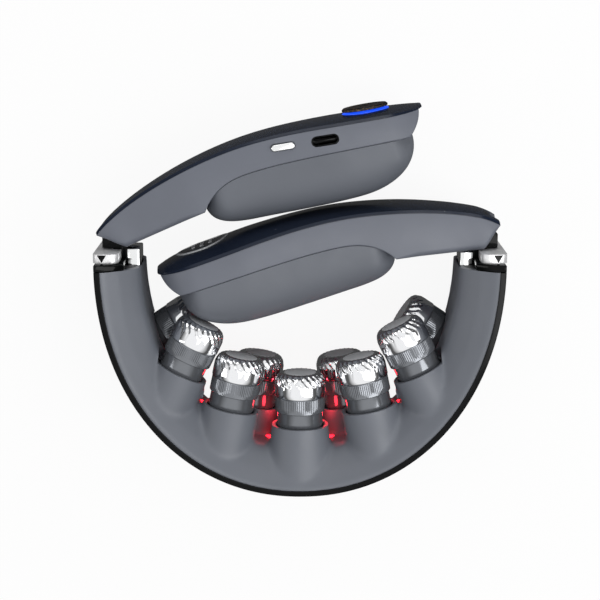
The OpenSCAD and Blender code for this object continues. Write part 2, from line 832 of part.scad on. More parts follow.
module arm_case(side) {
  color(case_grey)
    on_arm(side)
      difference() {
        intersection() {
          linear_extrude(arm_span, center = true, convexity = 4)
            polygon(case_outline());
          plan_block(0);
        }
        case_pocket();
        hinge_slot();
        cylinder(h = 2 * (pin_half + side_gap), r = pin_r + pin_clearance, center = true);
        heater_shape(1);
        if (side == LEFT) {
          at_port()
            pill(port_w + 2 * port_gap, port_h + 2 * port_gap, port_len + cut_reach);
          at_button()
            translate([0, 0, button_back - 1])
              pill(button_w + 2 * button_gap, button_h + 2 * button_gap, cut_reach);
        }
      }
}

// Cover: a crowned shell over the casing, drawn as two grids of points
cover_columns = [-1, -0.95, -0.88, -0.72, -0.5, -0.25, 0, 0.25, 0.5, 0.72, 0.88, 0.95, 1];
cover_lip = 0.87;
function cover_under(s, t, crown) = abs(t) > cover_lip ? rim_y(s)
  : max(rim_y(s), cover_top(s, t * half_w(s), crown) - cover_wall);
function grid_faces(rows, cols, start, flip) = [
  for (i = [0:rows - 2]) for (j = [0:cols - 2])
    let (a = start + i * cols + j, b = a + 1, c = b + cols, d = a + cols)
      each (flip ? [[a, b, c], [a, c, d]] : [[a, c, b], [a, d, c]])
];
function strip_faces(upper, lower) = [
  for (i = [0:len(upper) - 2])
    each [[upper[i], lower[i], lower[i + 1]], [upper[i], lower[i + 1], upper[i + 1]]]
];
module cover_body(crown) {
  rows = len(plan_line);
  cols = len(cover_columns);
  top = [for (s = plan_stations()) for (t = cover_columns)
    [s, cover_top(s, t * half_w(s), crown), t * half_w(s)]];
  under = [for (s = plan_stations()) for (t = cover_columns)
    [s, cover_under(s, t, crown), t * half_w(s)]];
  n = rows * cols;
  low_z = [for (i = [0:rows - 1]) i * cols];
  high_z = [for (i = [rows - 1:-1:0]) i * cols + cols - 1];
  tip_edge = [for (j = [0:cols - 1]) (rows - 1) * cols + j];
  root_edge = [for (j = [cols - 1:-1:0]) j];
  polyhedron(concat(top, under), concat(
    grid_faces(rows, cols, 0, false),
    grid_faces(rows, cols, n, true),
    [for (edge = [low_z, tip_edge, high_z, root_edge])
      each strip_faces(edge, [for (v = edge) v + n])]
  ), convexity = 6);
}
module at_dial() {
  translate([dial_s, dial_base, 0])
    rotate([0, 0, dial_slope])
      rotate([-90, 0, 0])
        children();
}
module arm_cover(side) {
  color(cover_navy)
    on_arm(side)
      difference() {
        cover_body(side == LEFT ? left_crown : right_crown);
        hinge_slot();
        if (side == LEFT)
          at_dial()
            cylinder(h = cut_reach, r = glow_r, center = true);
      }
}

// Pad: a soft cushion with a crowned underside and rounded ends
pad_inset = 0.5;
pad_round = 8.5;
pad_end = arm_len - 6.2;
pad_heel_y = -5.5;
pad_toe_y = -6.8;
pad_waist_s = 46;
pad_waist_y = -14.6;
pad_low_s = 84;
pad_line = concat(
  curve([pad_start, pad_heel_y], [pad_start + 0.2, 2 * pad_heel_y], [pad_waist_s - 9, -13.2],
    [pad_waist_s, pad_waist_y], 7),
  rest(curve([pad_waist_s, pad_waist_y], [pad_waist_s + 12, pad_waist_y - 2],
    [pad_low_s - 8, -pad_drop], [pad_low_s, -pad_drop], 7)),
  rest(curve([pad_low_s, -pad_drop], [pad_low_s + 12, -pad_drop], [pad_end - 0.2, -13.5],
    [pad_end, pad_toe_y], 9)));
function pad_half_w(s) = (plain_half_w(s) - pad_inset)
  * sqrt(1 - pow(min(0.94, max(0, (pad_start + pad_round - 0.5 - s) / pad_round)), 2))
  * sqrt(1 - pow(min(0.94, max(0, (s - pad_end + pad_round - 0.5) / pad_round)), 2));
pad_turns = [for (a = [0:11.25:180]) a];
function soft(v, p) = sign(v) * pow(abs(v), p);
// Powers that square the pad's section off: downwards, and sideways
pad_fullness = 0.62;
pad_squareness = 0.66;
module pad_body() {
  m = len(pad_turns);
  n = len(pad_line);
  points = [for (p = pad_line) for (a = pad_turns)
    let (top = seam_y(p[0] * $stretch) - pad_gap)
      [p[0] * $stretch, top - (top - p[1]) * soft(sin(a), pad_fullness),
        pad_half_w(p[0]) * soft(cos(a), pad_squareness)]];
  sides = [for (i = [0:n - 2]) for (j = [0:m - 1])
    let (a = i * m + j, b = i * m + (j + 1) % m) each [[a, b + m, b], [a, a + m, b + m]]];
  first = [for (j = [1:m - 2]) [0, j, j + 1]];
  last = [for (j = [1:m - 2]) let (a = (n - 1) * m) [a, a + j + 1, a + j]];
  polyhedron(points, concat(sides, first, last), convexity = 4);
}
module arm_pad(side) {
  color(pad_grey)
    on_arm(side)
      pad_body();
}
module heater(side) {
  color(foil_orange)
    on_arm(side)
      heater_shape(0);
}

// Controls on the left arm, and the battery in the right one
flange_drop = 1.9;
flange_h = 0.6;
flange_w = 0.8;
port_in_dial = turned([port_s - dial_s, port_y - dial_base], -dial_slope);
board_low = port_in_dial[1];
board_top = board_low + board_h;
board_back = 22;
board_len = 28;
board_half_w = 12;
board_reach = 15;
switch_top = -flange_drop - flange_h;
module main_board() {
  color(board_green)
    on_arm(LEFT)
      difference() {
        translate([dial_s, dial_base, 0])
          rotate([0, 0, dial_slope])
            translate([-board_back, board_low, -board_half_w])
              cube([board_len, board_h, board_half_w + board_reach]);
        at_port()
          translate([-port_w / 2 - pocket_gap, -port_h, -pocket_gap])
            cube([port_w + 2 * pocket_gap, 2 * port_h, port_len]);
      }
}
port_wall = 0.3;
port_floor = 1;
contact_w = 6.7;
contact_h = 0.7;
module charging_port() {
  color(chrome_grey)
    on_arm(LEFT)
      at_port() {
        difference() {
          pill(port_w, port_h, port_len);
          translate([0, 0, port_floor])
            pill(port_w - 2 * port_wall, port_h - 2 * port_wall, port_len);
        }
        translate([-contact_w / 2, -contact_h / 2, port_floor])
          cube([contact_w, contact_h, port_len - 1.6 * port_floor]);
      }
}
module side_button() {
  color(chrome_grey)
    on_arm(LEFT)
      at_button() {
        translate([0, 0, button_back - button_flange])
          pill(button_w, button_h, button_front - button_back + button_flange);
        translate([0, 0, button_back - button_flange])
          pill(button_w + 2 * button_flange, button_h + 2 * button_flange, button_flange);
      }
}
stem_room = 0.3;
stem_low = board_top + dial_travel + stem_room;
stem_gap = 0.05;
dial_skin = 0.4;
module turn_switch() {
  color(plain_black)
    on_arm(LEFT)
      at_dial()
        difference() {
          translate([-switch_w / 2, -switch_w / 2, board_top])
            cube([switch_w, switch_w, switch_top - board_top]);
          translate([0, 0, board_top - 1])
            cylinder(h = cut_reach, r = stem_r + stem_gap);
        }
}
module dial_stem() {
  color(chrome_grey)
    on_arm(LEFT)
      at_dial()
        translate([0, 0, stem_low])
          cylinder(h = dial_gap + dial_h - dial_skin - stem_low, r = stem_r);
}
groove_count = 36;
groove_r = 0.25;
module dial() {
  color(plain_black)
    on_arm(LEFT)
      at_dial()
        difference() {
          translate([0, 0, dial_gap])
            cylinder(h = dial_h, r = dial_r);
          translate([0, 0, dial_gap - 1])
            cylinder(h = dial_h - dial_skin + 1 + stem_gap, r = stem_r + stem_gap);
          for (i = [0:groove_count - 1])
            rotate([0, 0, i * 360 / groove_count])
              translate([dial_r, 0, dial_gap - 1])
                cylinder(h = dial_h + 2, r = groove_r, $fn = 16);
        }
}
module light_ring() {
  color(glow_blue)
    on_arm(LEFT)
      at_dial()
        difference() {
          union() {
            translate([0, 0, -flange_drop])
              cylinder(h = flange_drop + glow_proud, r = glow_r);
            translate([0, 0, switch_top])
              cylinder(h = flange_h, r = glow_r + flange_w);
          }
          translate([0, 0, switch_top - 1])
            cylinder(h = cut_reach, r = stem_r + 3 * stem_gap);
        }
}
battery_s = 50;
battery_y = 5.6;
battery_tilt = -7.8;
battery_len = 30;
battery_half_w = 12;
module battery() {
  color(chrome_grey)
    on_arm(RIGHT)
      translate([battery_s, battery_y, 0])
        rotate([0, 0, battery_tilt])
          translate([0, 0, -battery_half_w])
            cube([battery_len, battery_h, 2 * battery_half_w]);
}

// Emblem: a plain ring with three short bars, laid on the right cover
emblem_low = 0.04;
emblem_high = 0.2;
emblem_steps = 48;
module laid_band(inner, outer) {
  m = len(inner);
  points = concat(
    [for (p = inner) [p[0], cover_top(p[0], p[1], right_crown) + emblem_low, p[1]]],
    [for (p = outer) [p[0], cover_top(p[0], p[1], right_crown) + emblem_low, p[1]]],
    [for (p = outer) [p[0], cover_top(p[0], p[1], right_crown) + emblem_high, p[1]]],
    [for (p = inner) [p[0], cover_top(p[0], p[1], right_crown) + emblem_high, p[1]]]);
  closed = inner[0] == inner[m - 1];
  last = closed ? m - 2 : m - 1;
  walls = [for (i = [0:m - 2]) for (k = [0:3])
    let (j = closed && i == m - 2 ? 0 : i + 1, a = k * m, b = ((k + 1) % 4) * m)
      each [[a + i, b + j, b + i], [a + i, a + j, b + j]]];
  ends = closed ? [] : [[0, 2 * m, 3 * m], [0, m, 2 * m], [last, 2 * m + last, m + last],
    [last, 3 * m + last, 2 * m + last]];
  polyhedron(points, concat(walls, ends), convexity = 4);
}
bar_half_w = 0.6;
bar_step = 3;
bar_half_len = 4;
function bar_edge(k, x) = [for (i = [0:4])
  [emblem_s + bar_step * k + x, (bar_half_len - abs(k)) * (i / 2 - 1)]];
module emblem_body() {
  around = [for (i = [0:emblem_steps]) i % emblem_steps * 360 / emblem_steps];
  laid_band(
    [for (a = around) [emblem_s + (emblem_r - emblem_w) * cos(a), (emblem_r - emblem_w) * sin(a)]],
    [for (a = around) [emblem_s + emblem_r * cos(a), emblem_r * sin(a)]]);
  for (k = [-1:1])
    laid_band(bar_edge(k, -bar_half_w), bar_edge(k, bar_half_w));
}
module emblem() {
  color(chrome_grey)
    on_arm(RIGHT)
      emblem_body();
}

outer_shell();
silicone_skin();
chassis();
lamp_board();
lamp_windows();
vibration_motor();
head_stops();
dome(0);  // dome_1
dome(1);  // dome_2
dome(2);  // dome_3
dome(3);  // dome_4
dome(4);  // dome_5
dome(5);  // dome_6
dome(6);  // dome_7
dome(7);  // dome_8
dome(8);  // dome_9
sleeve(0);  // sleeve_1
sleeve(1);  // sleeve_2
sleeve(2);  // sleeve_3
sleeve(3);  // sleeve_4
sleeve(4);  // sleeve_5
sleeve(5);  // sleeve_6
sleeve(6);  // sleeve_7
sleeve(7);  // sleeve_8
sleeve(8);  // sleeve_9
end_ring(LEFT);  // end_ring_left
end_ring(RIGHT);  // end_ring_right
end_cap(LEFT);  // end_cap_left
end_cap(RIGHT);  // end_cap_right
index_mark(LEFT);  // index_mark_left
index_mark(RIGHT);  // index_mark_right
slider(LEFT);  // slider_left
slider(RIGHT);  // slider_right
slider_strip(LEFT);  // slider_strip_left
slider_strip(RIGHT);  // slider_strip_right
size_marks(LEFT);  // size_marks_left
size_marks(RIGHT);  // size_marks_right
hinge_pin(LEFT);  // hinge_pin_left
hinge_pin(RIGHT);  // hinge_pin_right
arm_case(LEFT);  // arm_case_left
arm_case(RIGHT);  // arm_case_right
arm_cover(LEFT);  // arm_cover_left
arm_cover(RIGHT);  // arm_cover_right
arm_pad(LEFT);  // arm_pad_left
arm_pad(RIGHT);  // arm_pad_right
heater(LEFT);  // heater_left
heater(RIGHT);  // heater_right
main_board();
battery();
charging_port();
side_button();
turn_switch();
dial_stem();
dial();
light_ring();
emblem();
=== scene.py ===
"""Looks of a U-shaped neck massager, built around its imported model.

Sizes are in millimetres in the classes, and become metres when a piece is made.
"""

import logging
import math
from collections.abc import Callable, Iterable, Sequence
from dataclasses import dataclass, field
from enum import Enum

import bmesh
import bpy
from mathutils import Matrix, Vector


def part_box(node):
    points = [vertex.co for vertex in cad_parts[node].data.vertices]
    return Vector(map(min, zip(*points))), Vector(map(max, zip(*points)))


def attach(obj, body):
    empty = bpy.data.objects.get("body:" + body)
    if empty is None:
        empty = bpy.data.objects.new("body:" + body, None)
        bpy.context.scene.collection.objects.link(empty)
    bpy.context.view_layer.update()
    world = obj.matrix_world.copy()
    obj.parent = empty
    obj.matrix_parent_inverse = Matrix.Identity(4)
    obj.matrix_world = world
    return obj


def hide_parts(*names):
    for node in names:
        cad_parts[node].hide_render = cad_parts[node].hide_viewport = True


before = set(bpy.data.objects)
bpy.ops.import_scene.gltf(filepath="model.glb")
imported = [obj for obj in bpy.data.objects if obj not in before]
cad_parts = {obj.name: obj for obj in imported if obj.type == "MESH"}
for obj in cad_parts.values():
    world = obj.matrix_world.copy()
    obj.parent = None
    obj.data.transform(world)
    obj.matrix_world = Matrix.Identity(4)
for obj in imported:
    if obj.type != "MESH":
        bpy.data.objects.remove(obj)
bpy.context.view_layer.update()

log = logging.getLogger("neck_massager")
MM = 0.001
MERGE_TURNED = 1e-4
MERGE_COPIED = 1e-3
FLAT_ANGLE = math.radians(1)
WHITE = (1.0, 1.0, 1.0, 1.0)
MIX_SHARE, MIX_FIRST, MIX_SECOND, MIX_RESULT = 0, 6, 7, 2
SMEAR_LOW, SMEAR_HIGH = 0.38, 0.68
SPECK_RADIUS = 0.16
Point = tuple[float, float]
Build = bmesh.types.BMesh


class Side(Enum):
    """The two sides of the massager, with their sign along X."""

    LEFT = -1
    RIGHT = 1

    @property
    def word(self) -> str:
        """The side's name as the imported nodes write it."""
        return self.name.lower()


# Curves and tables


def bezier(p0: Point, p1: Point, p2: Point, p3: Point, count: int) -> list[Point]:
    """Cuts a curve through four control points into pieces.

    Args:
        p0: Start.
        p1: First pull.
        p2: Second pull.
        p3: End.
        count: Number of pieces.

    Returns:
        The count + 1 points along the curve.
    """
    line = []
    for i in range(count + 1):
        t = i / count
        u = 1 - t
        line.append(
            tuple(
                u**3 * a + 3 * u * u * t * b + 3 * u * t * t * c + t**3 * d
                for a, b, c, d in zip(p0, p1, p2, p3)
            )
        )
    return line


def lookup(x: float, table: Sequence[Point]) -> float:
    """Reads a value between the rows of a rising table.

    Args:
        x: Place to read at.
        table: Pairs of place and value, in rising order of place.

    Returns:
        The value there, held at the ends.
    """
    if x <= table[0][0]:
        return table[0][1]
    for (x0, y0), (x1, y1) in zip(table, table[1:]):
        if x <= x1:
            return y0 + (y1 - y0) * (x - x0) / max(x1 - x0, 1e-9)
    return table[-1][1]


def spread(low: float, high: float, count: int) -> list[float]:
    """Gives count + 1 even steps from low to high."""
    return [low + (high - low) * i / count for i in range(count + 1)]


def arc(cx: float, cy: float, r: float, start: float, end: float, count: int) -> list[Point]:
    """Gives the points of a circular arc.

    Args:
        cx: Centre across.
        cy: Centre up.
        r: Radius.
        start: First angle in degrees.
        end: Last angle in degrees.
        count: Number of pieces.

    Returns:
        The count + 1 points.
    """
    return [
        (cx + r * math.cos(math.radians(a)), cy + r * math.sin(math.radians(a)))
        for a in spread(start, end, count)
    ]


# Mesh tools


def sweep(rings: Sequence[Sequence[Vector]], capped: bool = True) -> Build:
    """Extrudes a closed outline from ring to ring.

    Args:
        rings: Outlines with the same number of points each.
        capped: Whether both ends are filled.

    Returns:
        The swept form.
    """
    bm = bmesh.new()
    last = [bm.verts.new(p) for p in rings[0]]
    edges = [bm.edges.new((last[i], last[(i + 1) % len(last)])) for i in range(len(last))]
    for ring in rings[1:]:
        made = bmesh.ops.extrude_edge_only(bm, edges=edges)["geom"]
        fresh = {v for v in made if isinstance(v, bmesh.types.BMVert)}
        edges = [e for e in made if isinstance(e, bmesh.types.BMEdge) and set(e.verts) <= fresh]
        following = [
            next(e.other_vert(v) for e in v.link_edges if e.other_vert(v) in fresh) for v in last
        ]
        for vert, place in zip(following, ring):
            vert.co = place
        last = following
    if capped:
        bmesh.ops.holes_fill(bm, edges=[e for e in bm.edges if e.is_boundary], sides=0)
    bmesh.ops.recalc_face_normals(bm, faces=bm.faces)
    return bm


def turned_form(profile: Sequence[Point], steps: int) -> Build:
    """Spins a profile of radius and height round the Z axis.

    Args:
        profile: Points of radius and height, from the axis or a bore's edge round.
        steps: Number of steps in the full turn.

    Returns:
        The turned form, closed where the profile starts and ends on the axis.
    """
    bm = bmesh.new()
    verts = [bm.verts.new((r, 0, h)) for r, h in profile]
    edges = [bm.edges.new(pair) for pair in zip(verts, verts[1:])]
    bmesh.ops.spin(
        bm,
        geom=verts + edges,
        cent=(0, 0, 0),
        axis=(0, 0, 1),
        angle=math.tau,
        steps=steps,
        use_merge=True,
    )
    bmesh.ops.remove_doubles(bm, verts=bm.verts, dist=MERGE_TURNED)
    bmesh.ops.recalc_face_normals(bm, faces=bm.faces)
    return bm


def pill(width: float, height: float, low: float, high: float, ends: int = 14) -> Build:
    """Builds a bar with round ends, standing along Z.

    Args:
        width: Size along X.
        height: Size along Y.
        low: Start along Z.
        high: End along Z.
        ends: Pieces of each round end.

    Returns:
        The bar.
    """
    reach = (width - height) / 2
    outline = arc(reach, 0, height / 2, -90, 90, ends) + arc(-reach, 0, height / 2, 90, 270, ends)
    return sweep([[Vector((x, y, z)) for x, y in outline] for z in (low, high)])


def as_mesh(name: str, bm: Build) -> bpy.types.Mesh:
    """Turns a build into a mesh, and frees the build.

    Args:
        name: The mesh's name.
        bm: The build.

    Returns:
        The mesh.
    """
    mesh = bpy.data.meshes.new(name)
    bm.to_mesh(mesh)
    bm.free()
    return mesh


def linked(name: str, data: bpy.types.ID) -> bpy.types.Object:
    """Makes an object and puts it in the scene.

    Args:
        name: The object's name.
        data: Its mesh, lamp or camera.

    Returns:
        The object.
    """
    thing = bpy.data.objects.new(name, data)
    bpy.context.scene.collection.objects.link(thing)
    return thing


def joined(parts: Iterable[Build]) -> Build:
    """Puts several builds into one.

    Args:
        parts: The builds, which are freed.

    Returns:
        All of them as one build.
    """
    whole = bmesh.new()
    for part in parts:
        mesh = as_mesh("part", part)
        whole.from_mesh(mesh)
        bpy.data.meshes.remove(mesh)
    return whole


def worked(bm: Build, add: Callable[[bpy.types.Object], None]) -> Build:
    """Runs modifiers on a build.

    Args:
        bm: The build, which is freed.
        add: Adds the modifiers to the working object.

    Returns:
        The result as a new build.
    """
    mesh = as_mesh("work", bm)
    thing = linked("work", mesh)
    add(thing)
    result = bmesh.new()
    result.from_object(thing, bpy.context.evaluated_depsgraph_get())
    bpy.data.objects.remove(thing)
    bpy.data.meshes.remove(mesh)
    return result


def cut(bm: Build, cutters: Iterable[Build]) -> Build:
    """Takes cutters out of a build.

    Args:
        bm: The build, which is freed.
        cutters: Closed builds, which are freed.

    Returns:
        What is left.
    """
    tool = joined(cutters)
    bmesh.ops.recalc_face_normals(tool, faces=tool.faces)
    mesh = as_mesh("cutter", tool)
    holder = linked("cutter", mesh)

    def add(thing: bpy.types.Object) -> None:
        """Adds the difference to an object.

        Args:
            thing: The working object.
        """
        modifier = thing.modifiers.new("cut", "BOOLEAN")
        modifier.operation = "DIFFERENCE"
        modifier.solver = "EXACT"
        modifier.use_self = True
        modifier.object = holder

    result = worked(bm, add)
    bpy.data.objects.remove(holder)
    bpy.data.meshes.remove(mesh)
    return result


def box(low: Sequence[float], high: Sequence[float]) -> Build:
    """Builds a plain block, as a cutter.

    Args:
        low: Its lowest corner.
        high: Its highest corner.

    Returns:
        The block.
    """
    bm = bmesh.new()
    bmesh.ops.create_cube(bm, size=1)
    size = Vector(high) - Vector(low)
    bmesh.ops.scale(bm, vec=size, verts=bm.verts)
    bmesh.ops.translate(bm, vec=(Vector(low) + Vector(high)) / 2, verts=bm.verts)
    return bm


def rod(radius: float, low: float, high: float, segments: int = 48) -> Build:
    """Builds a plain round bar along Z, as a cutter."""
    return turned_form([(0, low), (radius, low), (radius, high), (0, high)], segments)


def moved(bm: Build, place: Matrix) -> Build:
    """Places a build, and turns its faces out again where the place mirrors it.

    Args:
        bm: The build.
        place: The place that it is put in.

    Returns:
        The same build.
    """
    bmesh.ops.transform(bm, matrix=place, verts=bm.verts)
    if place.determinant() < 0:
        bmesh.ops.reverse_faces(bm, faces=bm.faces)
    return bm


def standing(place: Vector, lean: float) -> Matrix:
    """Frame at a place, with Z out along +Y.

    Args:
        place: The frame's origin.
        lean: Turn about the row frame's Z in radians.

    Returns:
        The frame.
    """
    return (
        Matrix.Translation(place)
        @ Matrix.Rotation(lean, 4, "Z")
        @ Matrix.Rotation(math.radians(-90), 4, "X")
    )


def ribbed(form: Build, beyond: float, depth: float, ribs: int) -> Build:
    """Cuts even grooves round the outside of a form turned round Z.

    Args:
        form: The form.
        beyond: Radius past which it is grooved.
        depth: Depth of a groove.
        ribs: Number of ribs round it.

    Returns:
        The same form.
    """
    for vert in form.verts:
        reach = vert.co.xy.length
        if reach > beyond:
            turn = math.atan2(vert.co.y, vert.co.x)
            vert.co.xy *= 1 - depth / reach * (0.5 - 0.5 * math.cos(ribs * turn))
    return form


def bevelled(
    bm: Build, edges: Sequence[bmesh.types.BMEdge], width: float, segments: int, clamped: bool
) -> Build:
    """Bevels some edges.

    Args:
        bm: The build.
        edges: The edges.
        width: Width of the bevel in millimetres.
        segments: Steps of the bevel.
        clamped: Whether bevels stop where they would run into each other.

    Returns:
        The same build.
    """
    bmesh.ops.bevel(
        bm,
        geom=edges,
        offset=width,
        offset_type="OFFSET",
        affect="EDGES",
        segments=segments,
        profile=0.5,
        material=-1,
        clamp_overlap=clamped,
    )
    return bm


def rounded(bm: Build, width: float, angle: float = 30, segments: int = 3) -> Build:
    """Bevels every edge that is sharper than an angle.

    Args:
        bm: The build.
        width: Width of the bevel in millimetres.
        angle: Least angle between faces in degrees.
        segments: Steps of the bevel.

    Returns:
        The same build.
    """
    limit = math.radians(angle)
    sharp = [e for e in bm.edges if len(e.link_faces) == 2 and e.calc_face_angle(0) > limit]
    return bevelled(bm, sharp, width, segments, True)


def node_copy(node: str) -> Build:
    """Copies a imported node, with its triangles joined and its flat faces whole.

    Args:
        node: The node's name.

    Returns:
        The copy in millimetres.
    """
    bm = bmesh.new()
    bm.from_mesh(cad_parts[node].data)
    bmesh.ops.scale(bm, vec=(1 / MM,) * 3, verts=bm.verts)
    bmesh.ops.remove_doubles(bm, verts=bm.verts, dist=MERGE_COPIED)
    bmesh.ops.dissolve_limit(
        bm, angle_limit=FLAT_ANGLE, use_dissolve_boundaries=False, verts=bm.verts, edges=bm.edges
    )
    return bm


def piece(
    name: str,
    bm: Build,
    finish: "Finish",
    body: str,
    stands_for: Sequence[str] = (),
    sharp: float = 35,
) -> bpy.types.Object:
    """Turns a build into a piece of the massager.

    Args:
        name: The piece's name.
        bm: The build in millimetres in the row frame, which is freed.
        finish: What it is dressed in.
        body: The body that it rides on.
        stands_for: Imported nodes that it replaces.
        sharp: Angle in degrees above which an edge shades sharp.

    Returns:
        The piece.
    """
    bmesh.ops.scale(bm, vec=(MM,) * 3, verts=bm.verts)
    limit = math.radians(sharp)
    for face in bm.faces:
        face.smooth = True
    for edge in bm.edges:
        edge.smooth = len(edge.link_faces) == 2 and edge.calc_face_angle(0) < limit
    mesh = as_mesh(name, bm)
    thing = linked(name, mesh)
    mesh.materials.append(finish.material())
    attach(thing, body)
    if stands_for:
        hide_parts(*stands_for)
    log.info("%s: %d faces on %s", name, len(mesh.polygons), body)
    return thing


def dressed(nodes: Iterable[str], finish: "Finish") -> None:
    """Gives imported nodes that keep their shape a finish.

    Args:
        nodes: The nodes' names.
        finish: What they are dressed in.
    """
    for node in nodes:
        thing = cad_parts[node]
        thing.data.materials.clear()
        thing.data.materials.append(finish.material())
        log.info("%s: dressed in %s", node, finish.name)


# Finishes


def linear(code: str) -> tuple[float, float, float, float]:
    """Turns a written colour such as "#646870" into linear values."""
    parts = [int(code[i : i + 2], 16) / 255 for i in (1, 3, 5)]
    return (*(c / 12.92 if c < 0.04045 else ((c + 0.055) / 1.055) ** 2.4 for c in parts), 1.0)


class Graph:
    """A node tree with short ways to add and join its nodes."""

    def __init__(self, tree: bpy.types.NodeTree) -> None:
        """Starts from an empty tree."""
        self.tree = tree
        tree.nodes.clear()

    def add(self, kind: str, sockets: dict | None = None, **settings: object) -> bpy.types.Node:
        """Adds a node.

        Args:
            kind: The node's type.
            sockets: Values or output sockets for its inputs, by name or number.
            settings: The node's own settings.

        Returns:
            The node.
        """
        made = self.tree.nodes.new(kind)
        for key, value in settings.items():
            setattr(made, key, value)
        for key, value in (sockets or {}).items():
            if isinstance(value, bpy.types.NodeSocket):
                self.tree.links.new(value, made.inputs[key])
            else:
                made.inputs[key].default_value = value
        return made

    def maths(self, operation: str, a: object, b: object = 0.0) -> bpy.types.NodeSocket:
        """Adds a sum of one or two values, and gives its result."""
        return self.add("ShaderNodeMath", {0: a, 1: b}, operation=operation).outputs[0]

    def mixed(self, share: object, first: object, second: object) -> bpy.types.NodeSocket:
        """Mixes two colours, each given as a value or as a socket.

        Args:
            share: How much of the second colour shows.
            first: The colour where the share is 0.
            second: The colour where the share is 1.

        Returns:
            The mixed colour.
        """
        sockets = {MIX_SHARE: share, MIX_FIRST: first, MIX_SECOND: second}
        return self.add("ShaderNodeMix", sockets, data_type="RGBA").outputs[MIX_RESULT]

    def overlay(self, shader: bpy.types.Node, share: object, colour: Sequence[float]) -> None:
        """Lays a colour over a shader's base colour.

        Args:
            shader: The shader, which has its base colour from another node.
            share: How much of the colour shows, as a value or a socket.
            colour: The colour laid over it.
        """
        base = shader.inputs["Base Color"].links[0].from_socket
        self.tree.links.new(self.mixed(share, base, colour), shader.inputs["Base Color"])

    def either(
        self, test: object, no: bpy.types.NodeSocket, yes: bpy.types.NodeSocket
    ) -> bpy.types.NodeSocket:
        """Mixes two shaders.

        Args:
            test: The share of the second shader, as a value or a socket.
            no: The shader where the share is 0.
            yes: The shader where the share is 1.

        Returns:
            The mixed shader.
        """
        return self.add("ShaderNodeMixShader", {0: test, 1: no, 2: yes}).outputs[0]


def group(name: str, inputs: dict[str, float], outputs: Sequence[str]) -> tuple[Graph, dict]:
    """Starts a shared effect with a place to read from and named values.

    Args:
        name: The effect's name.
        inputs: Names of its values, and what they are unless set.
        outputs: Names of what it puts out.

    Returns:
        Its graph, and its input sockets by name.
    """
    tree = bpy.data.node_groups.new(name, "ShaderNodeTree")
    face = tree.interface
    face.new_socket("Place", in_out="INPUT", socket_type="NodeSocketVector")
    for key, value in inputs.items():
        face.new_socket(key, in_out="INPUT", socket_type="NodeSocketFloat").default_value = value
    for key in outputs:
        face.new_socket(key, in_out="OUTPUT", socket_type="NodeSocketFloat")
    graph = Graph(tree)
    return graph, graph.add("NodeGroupInput").outputs


def grain_effect() -> bpy.types.NodeTree:
    """Builds the fine moulded grain.

    Returns:
        The effect, which puts out a height, and a slow tone over the surface.
    """
    graph, given = group("Moulded grain", {"Scale": 3000.0, "Patch": 60.0}, ["Height", "Tone"])
    fine = graph.add(
        "ShaderNodeTexNoise", {"Vector": given["Place"], "Scale": given["Scale"], "Detail": 3.0}
    )
    slow = graph.add(
        "ShaderNodeTexNoise", {"Vector": given["Place"], "Scale": given["Patch"], "Detail": 4.0}
    )
    graph.add("NodeGroupOutput", {"Height": fine.outputs[0], "Tone": slow.outputs[0]})
    return graph.tree


def smudge_effect() -> bpy.types.NodeTree:
    """Builds the faint smears of handling.

    Returns:
        The effect, which puts out a roughness between its two values.
    """
    graph, given = group("Handling smears", {"Scale": 90.0, "Low": 0.1, "High": 0.2}, ["Roughness"])
    smear = graph.add(
        "ShaderNodeTexNoise",
        {"Vector": given["Place"], "Scale": given["Scale"], "Detail": 6.0, "Distortion": 1.2},
    )
    level = graph.add(
        "ShaderNodeMapRange",
        {0: smear.outputs[0], 1: SMEAR_LOW, 2: SMEAR_HIGH, 3: given["Low"], 4: given["High"]},
    )
    graph.add("NodeGroupOutput", {"Roughness": level.outputs[0]})
    return graph.tree


def dust_effect() -> bpy.types.NodeTree:
    """Builds sparse specks of dust.

    Returns:
        The effect, which puts out a mask that is 1 on a speck.
    """
    graph, given = group("Dust specks", {"Scale": 700.0, "Amount": 0.06}, ["Mask"])
    cells = graph.add(
        "ShaderNodeTexVoronoi", {"Vector": given["Place"], "Scale": given["Scale"]}
    )
    near = graph.maths("LESS_THAN", cells.outputs["Distance"], SPECK_RADIUS)
    chance = graph.add(
        "ShaderNodeTexWhiteNoise", {"Vector": cells.outputs["Position"]}, noise_dimensions="3D"
    )
    few = graph.maths("LESS_THAN", chance.outputs["Value"], given["Amount"])
    graph.add("NodeGroupOutput", {"Mask": graph.maths("MULTIPLY", near, few)})
    return graph.tree


class Effect(Enum):
    """The effects that several finishes share."""

    GRAIN = "grain"
    SMUDGE = "smudge"
    DUST = "dust"

    def tree(self) -> bpy.types.NodeTree:
        """Gives the effect's node group.

        Returns:
            The group, which is built once.
        """
        if self not in _trees:
            makers = {
                Effect.GRAIN: grain_effect,
                Effect.SMUDGE: smudge_effect,
                Effect.DUST: dust_effect,
            }
            _trees[self] = makers[self]()
        return _trees[self]


_trees: dict[Effect, bpy.types.NodeTree] = {}
_materials: dict[str, bpy.types.Material] = {}


